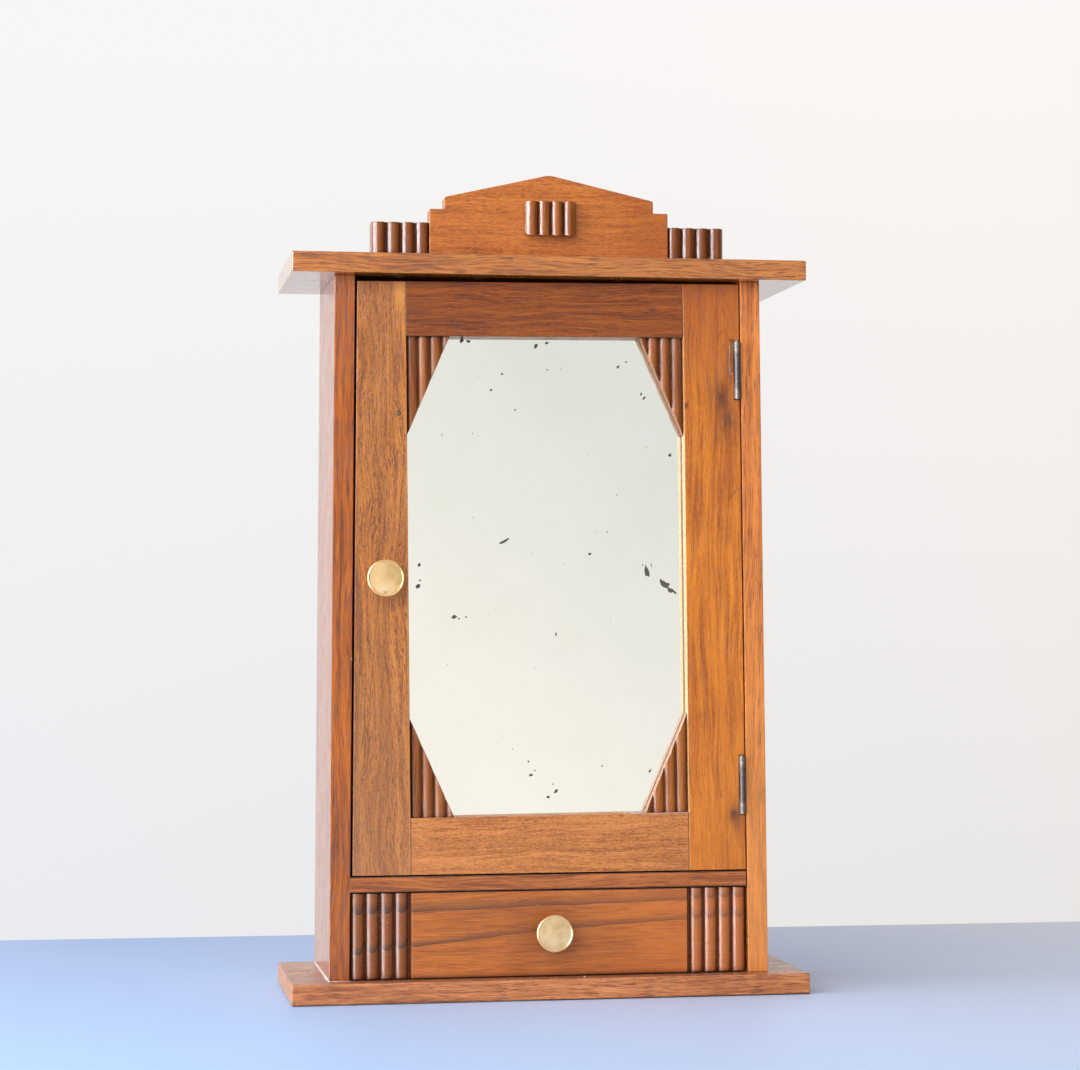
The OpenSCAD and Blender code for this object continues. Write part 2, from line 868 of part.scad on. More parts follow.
module door_rail_top() {
    color("chocolate")
        at_hinge()
            difference() {
                union() {
                    rail_between(open_t, open_t, top_w);
                    intersection() {
                        tenon_boxes(0);
                        translate([open_l - tenon_l, v0, open_t])
                            cube([open_r - open_l + 2 * tenon_l, door_t, top_rail_w]);
                    }
                }
                at_backing_screws()
                    round_hole(small_screw_d, small_screw_len);
            }
}

module door_rail_bottom() {
    color("chocolate")
        at_hinge()
            difference() {
                union() {
                    rail_between(foot_w(open_l), foot_w(open_r), open_b);
                    intersection() {
                        tenon_boxes(0);
                        translate([open_l - tenon_l, v0, foot_w(open_r) - 5])
                            cube([open_r - open_l + 2 * tenon_l, door_t, open_b - foot_w(open_r) + 5]);
                    }
                }
                at_backing_screws()
                    round_hole(small_screw_d, small_screw_len);
            }
}

module mirror_glass() {
    m = glass_rebate - 0.4;
    color("lightgray")
        at_hinge()
            slab(v1 - glass_t + fit / 2, v1 - fit / 2, [[open_l - m, open_b - m], [open_r + m, open_b - m],
                                                        [open_r + m, open_t + m], [open_l - m, open_t + m]]);
}

module mirror_backing() {
    m = backing_overlap;
    color("tan")
        at_hinge()
            difference() {
                slab(v1, v1 + backing_t, [[open_l - m, open_b - m], [open_r + m, open_b - m],
                                          [open_r + m, open_t + m], [open_l - m, open_t + m]]);
                at_backing_screws()
                    round_hole(small_screw_d, small_screw_len);
            }
}

module backing_screws() {
    color("gray")
        at_hinge()
            at_backing_screws()
                round_screw(small_screw_d, small_screw_len);
}

// Reeded triangle for the lower left corner, at the origin; it fills the lip in front of the glass
module corner_piece() {
    depth = lip - corner_recess - 0.2;
    n = ceil(corner_w / corner_reed_pitch);
    intersection() {
        translate([0, corner_reed_rise, 0])
            reeded_block(n, corner_reed_pitch, corner_reed_rise, depth, corner_h);
        slab(-1, depth + 1, [[0, 0], [corner_w, 0], [0, corner_h]]);
    }
}

module corner_block(u, w, right, top) {
    color("sienna")
        at_hinge()
            translate([u, v0 + corner_recess, w])
                mirror([right, 0, 0])
                    mirror([0, 0, top])
                        corner_piece();
}

module corner_block_upper_left() {
    corner_block(open_l, open_t, 0, 1);
}

module corner_block_upper_right() {
    corner_block(open_r, open_t, 1, 1);
}

module corner_block_lower_left() {
    corner_block(open_l, open_b, 0, 0);
}

module corner_block_lower_right() {
    corner_block(open_r, open_b, 1, 0);
}

// Knobs

// Turned knob standing on z = 0: foot, waisted neck, flat disc with a thin raised rim
module knob() {
    r = knob_d / 2;
    rim = 1.4;
    disc_t = 3.6;
    neck = 4.6;
    foot = 7;
    z0 = knob_reach - disc_t;
    difference() {
        rotate_extrude($fn = 96)
            polygon(concat(
                [[0, 0], [foot, 0], [foot, 1.2]],
                [for (i = [0:8]) [neck + (foot - 0.6 - neck) * pow(1 - i / 8, 2), 1.8 + z0 * 0.3 * i / 8]],
                [for (i = [1:8]) [neck + (r - 2.5 - neck) * (1 - cos(90 * i / 8)), 1.8 + z0 * 0.3
                                  + (z0 * 0.7 - 1.8) * sin(90 * i / 8)]],
                [[r - 0.7, z0 + 0.2], [r, z0 + 0.9], [r, knob_reach - 0.8], [r - 0.4, knob_reach - 0.2],
                 [r - 0.8, knob_reach], [r - rim, knob_reach], [r - rim - 0.4, knob_reach - 0.5]],
                [for (i = [5:-1:0]) [(r - rim - 1) * i / 5, knob_reach - 0.5 + 0.9 * (1 - pow(i / 5, 2))]]));
        translate([0, 0, -1])
            cylinder(r = knob_screw_d / 2 + bore_gap, h = knob_reach * 0.55 + 1);
    }
}

module at_door_knob() {
    at_hinge()
        translate([knob_u, v0, knob_w])
            rotate([90, 0, 0])
                children();
}

module door_knob() {
    color("gold")
        at_door_knob()
            knob();
}

module door_knob_screw() {
    color("gray")
        at_hinge()
            at_knob_hole()
                round_screw(knob_screw_d, knob_screw_len);
}

module catch_plate() {
    color("silver")
        at_hinge()
            difference() {
                translate([lu(catch_plate_x, catch_z) - catch_plate_w / 2, v1,
                           lw(catch_plate_x, catch_z) - catch_plate_h / 2])
                    cube([catch_plate_w, catch_plate_t, catch_plate_h]);
                at_catch_plate_screw()
                    csk_hole(small_screw_d, small_screw_len, small_head_d);
            }
}

module catch_plate_screw() {
    color("gray")
        at_hinge()
            at_catch_plate_screw()
                csk_screw(small_screw_d, small_screw_len, small_head_d);
}

// Magnet housing on the left side panel; the door's steel plate rests just off it
module door_catch() {
    z0 = catch_z - catch_flange;
    z1 = catch_z + catch_flange;
    color("saddlebrown")
        difference() {
            union() {
                slab(catch_face_y, catch_face_y + catch_depth,
                     [[-in_x(z0), z0], [3 - in_x(catch_z), z0], [3 - in_x(catch_z), z1], [-in_x(z1), z1]]);
                slab(catch_face_y, catch_face_y + catch_depth,
                     [[-in_x(catch_z - catch_half), catch_z - catch_half],
                      [catch_w - in_x(catch_z), catch_z - catch_half],
                      [catch_w - in_x(catch_z), catch_z + catch_half],
                      [-in_x(catch_z + catch_half), catch_z + catch_half]]);
            }
            at_catch_screws()
                csk_hole(small_screw_d, small_screw_len, small_head_d);
        }
}

// Fastenings of the case

module top_screws() {
    color("gray")
        at_top_screws()
            csk_screw(screw_d, screw_len, head_d);
}

module base_screws() {
    color("gray")
        at_base_screws()
            csk_screw(screw_d, screw_len, head_d);
}

module crest_screws() {
    color("gray")
        at_crest_screws()
            csk_screw(screw_d, screw_len, head_d);
}

module back_panel_pins() {
    color("gray")
        at_back_pins()
            pin_nail(panel_pin_len);
}

module cleat_pins() {
    color("gray")
        at_cleat_pins()
            pin_nail(cleat_pin_len);
}

module catch_screws() {
    color("gray")
        at_catch_screws()
            csk_screw(small_screw_d, small_screw_len, small_head_d);
}

// Drawer

front_x0 = drawer_gap_left - in_x(base_t);
front_x1 = in_x(base_t) - drawer_gap_right;
reeds_w = reed_count * reed_pitch;
reed_end = 0.6;

// Plan of the drawer front: reeds at both ends, a panel with bevelled ends between them
module front_plan() {
    back = front_t - reed_rise;
    translate([front_x0, reed_rise])
        reed_profile(reed_count, reed_pitch, reed_rise, back);
    translate([front_x1 - reeds_w, reed_rise])
        reed_profile(reed_count, reed_pitch, reed_rise, back);
    polygon([[front_x0 + reeds_w - 1, front_t], [front_x0 + reeds_w - 1, reed_rise],
             [front_x0 + reeds_w + 0.4, reed_rise], [front_x0 + reeds_w + panel_bevel, 0],
             [front_x1 - reeds_w - panel_bevel, 0], [front_x1 - reeds_w - 0.4, reed_rise],
             [front_x1 - reeds_w + 1, reed_rise], [front_x1 - reeds_w + 1, front_t]]);
}

module at_drawer_pins() {
    for (s = [-1, 1])
        for (z = drawer_pin_zs)
            for (y = [front_y + lap_t + 5, drawer_back_y - drawer_wall / 2])
                translate([s * box_x, y, z])
                    rotate([0, 90 * s, 0])
                        children();
}

module at_drawer_knob() {
    translate([0, front_y, (front_z0 + front_z1) / 2 + 1.5])
        rotate([90, 0, 0])
            children();
}

module drawer_front() {
    color("chocolate")
        difference() {
            intersection() {
                translate([0, front_y, front_z0])
                    linear_extrude(height = front_z1 - front_z0)
                        front_plan();
                slab(front_y - 1, front_y + front_t + 1,
                     [[drawer_gap_left - in_x(front_z0), front_z0 - 1],
                      [in_x(front_z0) - drawer_gap_right, front_z0 - 1],
                      [in_x(front_z1) - drawer_gap_right, front_z1 + 1],
                      [drawer_gap_left - in_x(front_z1), front_z1 + 1]]);
            }
            // laps for the drawer sides
            for (s = [0, 1])
                mirror([s, 0, 0])
                    translate([box_x - drawer_wall, front_y + lap_t, front_z0 - 1])
                        cube([drawer_wall + 3 * drawer_side_gap, front_t, front_z1 - front_z0 + 2]);
            // groove for the drawer bottom
            translate([-box_x, front_y + front_t - groove_d, floor_z])
                cube([2 * box_x, groove_d + 1, drawer_floor_t]);
            // lower ends of the reeds
            for (x = [front_x0 - 2, front_x1 - reeds_w])
                translate([x, front_y, front_z0])
                    rotate([-45, 0, 0])
                        translate([0, -front_t, -reed_end])
                            cube([reeds_w + 2, 2 * front_t, 2 * reed_end]);
            translate([0, front_y + front_t, 0])
                at_drawer_knob_axis()
                    round_hole(knob_screw_d, knob_screw_len);
            at_drawer_pins()
                pin_hole(panel_pin_len);
        }
}

module at_drawer_knob_axis() {
    translate([0, 0, (front_z0 + front_z1) / 2 + 1.5])
        rotate([-90, 0, 0])
            children();
}

// Right-hand drawer side with the groove for the bottom
module drawer_side() {
    difference() {
        translate([box_x - drawer_wall + fit, front_y + lap_t + fit, box_z0])
            cube([drawer_wall - fit, drawer_len - lap_t - fit, wall_top - box_z0]);
        translate([box_x - drawer_wall - 1, front_y, floor_z])
            cube([groove_d + 1, drawer_len + 1, drawer_floor_t]);
        at_drawer_pins()
            pin_hole(panel_pin_len);
    }
}

module drawer_side_left() {
    color("peru")
        mirror([1, 0, 0])
            drawer_side();
}

module drawer_side_right() {
    color("peru")
        drawer_side();
}

module drawer_back() {
    x = box_x - drawer_wall;
    color("peru")
        difference() {
            translate([-x, drawer_back_y - drawer_wall, floor_z + drawer_floor_t + fit])
                cube([2 * x, drawer_wall, wall_top - floor_z - drawer_floor_t - fit - 4]);
            at_drawer_pins()
                pin_hole(panel_pin_len);
        }
}

module drawer_bottom() {
    x = box_x - drawer_wall + groove_d - 2 * fit;
    color("burlywood")
        translate([-x, front_y + front_t - groove_d + 2 * fit, floor_z + fit / 2])
            cube([2 * x, drawer_len - front_t + groove_d - 2 * fit, drawer_floor_t - fit]);
}

module drawer_pins() {
    color("gray")
        at_drawer_pins()
            pin_nail(panel_pin_len);
}

module drawer_knob() {
    color("gold")
        at_drawer_knob()
            knob();
}

module drawer_knob_screw() {
    color("gray")
        translate([0, front_y + front_t, 0])
            at_drawer_knob_axis()
                round_screw(knob_screw_d, knob_screw_len - door_t + front_t);
}

base_board();
top_board();
left_side();
right_side();
back_panel();
hanging_rail();
drawer_divider();
lower_shelf();
upper_shelf();
shelf_cleats();
drawer_guides();
drawer_stops();
crest_board();
crest_block_left();
crest_block_right();
crest_center_block();
case_leaf_upper();
case_leaf_lower();
hinge_pins();
door_catch();
top_screws();
base_screws();
crest_screws();
back_panel_pins();
cleat_pins();
case_leaf_screws();
catch_screws();
door_stile_left();
door_stile_right();
door_rail_top();
door_rail_bottom();
mirror_glass();
mirror_backing();
backing_screws();
corner_block_upper_left();
corner_block_upper_right();
corner_block_lower_left();
corner_block_lower_right();
door_leaf_upper();
door_leaf_lower();
door_leaf_screws();
door_knob();
door_knob_screw();
catch_plate();
catch_plate_screw();
drawer_front();
drawer_side_left();
drawer_side_right();
drawer_back();
drawer_bottom();
drawer_pins();
drawer_knob();
drawer_knob_screw();
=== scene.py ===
import json
import math
import random

import bmesh
import bpy
from mathutils import Matrix, Vector, geometry


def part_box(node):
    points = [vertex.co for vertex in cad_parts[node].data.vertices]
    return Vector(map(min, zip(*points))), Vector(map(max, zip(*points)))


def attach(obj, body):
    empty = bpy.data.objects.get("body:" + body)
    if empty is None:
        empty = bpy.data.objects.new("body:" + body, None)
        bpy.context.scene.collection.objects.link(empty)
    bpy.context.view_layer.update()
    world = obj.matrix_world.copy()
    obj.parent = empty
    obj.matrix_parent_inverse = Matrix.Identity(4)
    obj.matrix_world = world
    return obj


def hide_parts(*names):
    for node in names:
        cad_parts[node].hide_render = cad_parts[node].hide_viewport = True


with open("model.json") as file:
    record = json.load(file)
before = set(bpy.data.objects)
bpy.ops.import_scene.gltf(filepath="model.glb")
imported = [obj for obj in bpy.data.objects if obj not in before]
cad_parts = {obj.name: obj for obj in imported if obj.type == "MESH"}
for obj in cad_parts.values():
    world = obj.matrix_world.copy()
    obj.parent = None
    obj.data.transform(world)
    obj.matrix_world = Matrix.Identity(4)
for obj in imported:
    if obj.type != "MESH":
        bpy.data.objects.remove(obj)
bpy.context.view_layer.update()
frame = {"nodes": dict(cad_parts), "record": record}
nodes = frame["nodes"]
slots = {p["node"]: p["material_slot"] for p in frame["record"]["subparts"]}


# Camera, fitted to the photograph: focal length in its pixels, place in metres, angles in radians

SENSOR = 36.0
PHOTO_WIDTH, FOCAL = 1080.0, 2780.6
CAMERA_AT = (-0.4050, -2.4381, 0.3203)
YAW, PITCH, ROLL = 0.1653, 0.0326, -0.0025


def make_camera():
    data = bpy.data.cameras.new("camera")
    data.sensor_fit = "HORIZONTAL"
    data.sensor_width = SENSOR
    data.lens = FOCAL * SENSOR / PHOTO_WIDTH
    data.clip_start, data.clip_end = 0.05, 60.0
    cam = bpy.data.objects.new("camera", data)
    bpy.context.scene.collection.objects.link(cam)
    ahead = Vector((math.sin(YAW) * math.cos(PITCH), math.cos(YAW) * math.cos(PITCH), math.sin(PITCH)))
    level = Vector((math.cos(YAW), -math.sin(YAW), 0.0))
    above = level.cross(ahead)
    right = level * math.cos(ROLL) + above * math.sin(ROLL)
    up = above * math.cos(ROLL) - level * math.sin(ROLL)
    m = Matrix((right, up, -ahead)).transposed().to_4x4()
    m.translation = Vector(CAMERA_AT)
    cam.matrix_world = m
    bpy.context.scene.camera = cam


# Small helpers for materials

def rgb(c):
    return (c[0], c[1], c[2], 1.0)


def times(c, k):
    return rgb([v * w for v, w in zip(c, k)])


class Tree:
    """Short calls for the nodes of one tree; a value is a number, a vector, a colour or a socket"""

    def __init__(self, tree):
        self.tree = tree

    def node(self, kind, **settings):
        n = self.tree.nodes.new(kind)
        for key, value in settings.items():
            setattr(n, key, value)
        return n

    def put(self, socket, value):
        if isinstance(value, bpy.types.NodeSocket):
            self.tree.links.new(value, socket)
        elif value is not None:
            socket.default_value = value

    def math(self, op, a, b=None):
        n = self.node("ShaderNodeMath", operation=op)
        self.put(n.inputs[0], a)
        self.put(n.inputs[1], b)
        return n.outputs[0]

    def add(self, a, b):
        return self.math("ADD", a, b)

    def sub(self, a, b):
        return self.math("SUBTRACT", a, b)

    def mul(self, a, b):
        return self.math("MULTIPLY", a, b)

    def most(self, a, b):
        return self.math("MAXIMUM", a, b)

    def swing(self, value, size):
        """A value of 0 to 1, made to swing round 0"""
        return self.mul(self.sub(value, 0.5), size)

    def vmath(self, op, a, b=None, scale=None):
        n = self.node("ShaderNodeVectorMath", operation=op)
        self.put(n.inputs[0], a)
        if b is not None:
            self.put(n.inputs[1], b)
        if scale is not None:
            self.put(n.inputs["Scale"], scale)
        return n.outputs["Value"] if op in ("LENGTH", "DOT_PRODUCT") else n.outputs[0]

    def scaled(self, vector, k):
        """A vector times one number, or times one for each axis"""
        if isinstance(k, tuple):
            return self.vmath("MULTIPLY", vector, k)
        return self.vmath("SCALE", vector, scale=k)

    def noise(self, vector, scale=1.0, detail=2.0, rough=0.5):
        n = self.node("ShaderNodeTexNoise")
        for key, value in (("Vector", vector), ("Scale", scale), ("Detail", detail), ("Roughness", rough)):
            self.put(n.inputs[key], value)
        return n.outputs["Fac"]

    def range(self, value, a, b, c=0.0, d=1.0, smooth=False):
        """c up to a, d from b on, and between them on the way"""
        n = self.node("ShaderNodeMapRange", interpolation_type="SMOOTHSTEP" if smooth else "LINEAR")
        for socket, v in zip(n.inputs, (value, a, b, c, d)):
            self.put(socket, v)
        return n.outputs[0]

    def mix(self, fac, a, b):
        n = self.node("ShaderNodeMix", data_type="RGBA")
        self.put(n.inputs[0], fac)
        self.put(n.inputs[6], a)
        self.put(n.inputs[7], b)
        return n.outputs[2]

    def tint(self, colour, mask, other):
        """A colour, turned into another one where the mask is 1"""
        return self.mix(mask, colour, rgb(other))

    def xyz(self, vector):
        n = self.node("ShaderNodeSeparateXYZ")
        self.put(n.inputs[0], vector)
        return n.outputs[0], n.outputs[1], n.outputs[2]

    def vector(self, x, y, z):
        n = self.node("ShaderNodeCombineXYZ")
        for socket, value in zip(n.inputs, (x, y, z)):
            self.put(socket, value)
        return n.outputs[0]

    def ramp(self, fac, stops):
        n = self.node("ShaderNodeValToRGB")
        self.put(n.inputs[0], fac)
        e = n.color_ramp.elements
        while len(e) < len(stops):
            e.new(0.5)
        for item, (pos, colour) in zip(e, stops):
            item.position = pos
            item.color = rgb(colour)
        return n.outputs[0]

    def normal(self):
        return self.node("ShaderNodeNewGeometry").outputs["Normal"]

    def arris(self, radius):
        """The normal, rounded over near edges, and how far it turns there"""
        edge = self.node("ShaderNodeBevel", samples=4)
        edge.inputs["Radius"].default_value = radius
        return edge.outputs[0], self.sub(1.0, self.vmath("DOT_PRODUCT", edge.outputs[0], self.normal()))

    def openness(self, reach):
        """1 on open faces, less in corners"""
        ao = self.node("ShaderNodeAmbientOcclusion", samples=4)
        ao.inputs["Distance"].default_value = reach
        return ao.outputs["AO"]

    def bump(self, shader, height, distance, normal=None):
        n = self.node("ShaderNodeBump")
        n.inputs["Distance"].default_value = distance
        self.put(n.inputs["Height"], height)
        self.put(n.inputs["Normal"], normal)
        self.put(shader.inputs["Normal"], n.outputs[0])


def material(name):
    mat = bpy.data.materials.new(name)
    mat.use_nodes = True
    return mat, Tree(mat.node_tree), mat.node_tree.nodes["Principled BSDF"]


# Stage: table top, the pale room as the world's background, soft light

TABLE_LOW, TABLE_HIGH = (-0.51, -1.05, -0.03), (2.6, 0.475, -0.0003)
TABLE_SKEW = -0.09  # the rear edge comes forward to the right


def make_table():
    mat, t, b = material("table_top")
    b.inputs["Roughness"].default_value = 0.55
    b.inputs["Specular IOR Level"].default_value = 0.3
    pos = t.node("ShaderNodeTexCoord").outputs["Object"]
    x, y, _ = t.xyz(pos)
    # greyer and paler to the right: partly the table's own tone, partly painted light over the cabinet's shadow
    side = t.add(t.range(x, -0.35, 0.65), t.swing(t.noise(pos, 1.6), 0.3))
    blue = t.mix(t.range(y, -0.3, 0.4), rgb((0.46, 0.64, 0.98)), rgb((0.42, 0.55, 0.86)))
    grey = t.mix(t.range(y, -0.3, 0.4), rgb((0.70, 0.79, 0.98)), rgb((0.80, 0.83, 0.94)))
    mirrored = t.node("ShaderNodeLightPath").outputs["Is Glossy Ray"]
    t.put(b.inputs["Base Color"], t.tint(t.mix(side, blue, grey), mirrored, (0.90, 0.86, 0.80)))
    # the polish of the drawer's reeds mirrors the window past the left part of the table
    past = t.node("ShaderNodeMixShader")
    t.put(past.inputs[0], t.mul(mirrored, t.range(x, 0.02, -0.02)))
    t.put(past.inputs[1], b.outputs[0])
    t.put(past.inputs[2], t.node("ShaderNodeBsdfTransparent").outputs[0])
    t.put(mat.node_tree.nodes["Material Output"].inputs["Surface"], past.outputs[0])

    mesh = bpy.data.meshes.new("table_top")
    bm = bmesh.new()
    bmesh.ops.create_cube(bm, size=1.0)
    for v in bm.verts:
        skew = TABLE_SKEW if v.co.x > 0 and v.co.y > 0 else 0.0
        x, y, z = ((lo + hi) / 2 + c * (hi - lo) for lo, hi, c in zip(TABLE_LOW, TABLE_HIGH, v.co))
        v.co = Vector((x, y + skew, z))
    bmesh.ops.bevel(bm, geom=list(bm.edges), offset=0.003, segments=3, affect="EDGES")
    bm.to_mesh(mesh)
    bm.free()
    floor = bpy.data.objects.new("table_top", mesh)
    mesh.materials.append(mat)
    bpy.context.scene.collection.objects.link(floor)


def make_room():
    """Seen and mirrored: a pale wall behind, a room with a dark right part in front. Its own light is soft"""
    bpy.context.scene.view_settings.view_transform = "Standard"
    world = bpy.data.worlds.new("room")
    bpy.context.scene.world = world
    world.use_nodes = True
    w = Tree(world.node_tree)
    back = world.node_tree.nodes["Background"]
    x, y, z = w.xyz(w.node("ShaderNodeTexCoord").outputs["Generated"])
    low = w.mix(w.range(x, -0.03, 0.36), rgb((0.83, 0.84, 0.87)), rgb((0.815, 0.795, 0.775)))
    high = w.mix(w.range(x, -0.03, 0.36), rgb((0.93, 0.925, 0.92)), rgb((0.96, 0.925, 0.90)))
    wall = w.mix(w.range(z, -0.10, 0.20), low, high)
    rise = w.add(z, w.mul(w.sub(x, 0.16), 0.8))
    room = w.mix(w.range(rise, -0.06, 0.10), rgb((0.99, 0.94, 0.87)), rgb((0.79, 0.80, 0.76)))
    room = w.tint(room, w.range(x, 0.36, 0.80), (0.16, 0.14, 0.13))
    seen = w.mix(w.range(y, -0.15, 0.15), room, wall)
    path = w.node("ShaderNodeLightPath").outputs
    direct = w.most(path["Is Camera Ray"], w.most(path["Is Glossy Ray"], path["Is Transmission Ray"]))
    soft = w.mix(w.range(x, -0.8, 0.8), rgb((0.60, 0.61, 0.63)), rgb((0.27, 0.26, 0.26)))
    w.put(back.inputs["Color"], w.mix(direct, soft, seen))
    back.inputs["Strength"].default_value = 1.0


def area(name, at, target, size, power, colour):
    light = bpy.data.lights.new(name, "AREA")
    light.shape = "RECTANGLE"
    light.size, light.size_y = size
    light.energy = power
    light.color = colour
    o = bpy.data.objects.new(name, light)
    o.location = at
    o.rotation_euler = (Vector(target) - Vector(at)).to_track_quat("-Z", "Y").to_euler()
    bpy.context.scene.collection.objects.link(o)
    o.visible_camera = False
    return o


def make_lights():
    area("window", (-2.15, -0.44, 0.55), (0.0, 0.0, 0.25), (1.7, 2.2), 62.0, (0.84, 0.92, 1.0))
    fill = area("fill", (-1.3, -2.2, 1.3), (0.0, 0.0, 0.12), (2.2, 1.8), 47.0, (1.0, 0.98, 0.95))
    fill.visible_glossy = False
    # more of the window, as the polish of the reeds mirrors it: brightest towards its top
    for name, z, tall, power, colour in (("sheen_low", -0.20, 0.36, 30.0, (0.66, 0.84, 1.0)),
                                         ("sheen_high", 1.20, 0.70, 100.0, (0.72, 0.86, 1.0))):
        sheen = area(name, (-1.943, -1.033, z), (0.0, 0.0, z), (2.2, tall), power, colour)
        sheen.visible_diffuse = False


# The door leans back with the tapering case: its own frame (u across, v deep, w up) starts at the foot of the
# hinges' axis. All in mm, with the opening of the door's frame

LEAN = math.atan(5.0 / 604.0)  # 5 mm over the height of the sides
HINGE = (171.1, -65.5, 18.0)
OPEN_L, OPEN_R, OPEN_B, OPEN_T = -291.91, -48.0, 140.11, 554.39


def door_point(u, v, w):
    """A point of the door's frame, in metres of the part's frame"""
    c, s = math.cos(LEAN), math.sin(LEAN)
    return Vector((HINGE[0] + u * c - w * s, HINGE[1] + v, HINGE[2] + u * s + w * c)) * 0.001


def place(t, door=False):
    """Coordinates in millimetres, in the part's frame or the door's"""
    p = t.scaled(t.node("ShaderNodeTexCoord").outputs["Object"], 1000.0)
    if not door:
        return p
    c, s = math.cos(LEAN), math.sin(LEAN)
    d = t.vmath("SUBTRACT", p, HINGE)
    return t.vector(*(t.vmath("DOT_PRODUCT", d, axis) for axis in ((c, 0.0, s), (0.0, 1.0, 0.0), (-s, 0.0, c))))


def heights(node):
    """Where a node starts and ends, in mm"""
    return tuple(c.z * 1000.0 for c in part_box(node))


# Masks for stains, knots and joints

def spot(t, p, at, size):
    """1 at a point, fading to 0 over the sizes given"""
    d = t.vmath("DIVIDE", t.vmath("SUBTRACT", p, at), size)
    return t.math("POWER", 2.718, t.mul(t.vmath("DOT_PRODUCT", d, d), -1.0))


def near(t, value, at, full, none, peak=1.0):
    """The peak within full of a value, fading to 0 at none"""
    return t.range(t.math("ABSOLUTE", t.sub(value, at)), full, none, peak, 0.0)


# Wood: growth rings round a sloping pith line, fibres and pores along the grain

ALONG = {"x": (1.0, 0.0, 0.0), "y": (0.0, 1.0, 0.0), "z": (0.0, 0.0, 1.0)}
SEED_STEP = (311.0, 173.0, 97.0)
DEEP = (0.30, 0.22, 0.20)  # pores, against the mean colour
DIRT_AND_SHADE = (0.16, 0.12, 0.14)  # dirt and painted shade in corners, against the mean colour
CORNER_DIRT_AND_SHADE = (0.045, 0.030, 0.022)  # dirt and painted shade on sawn faces, deep in the mirror's opening
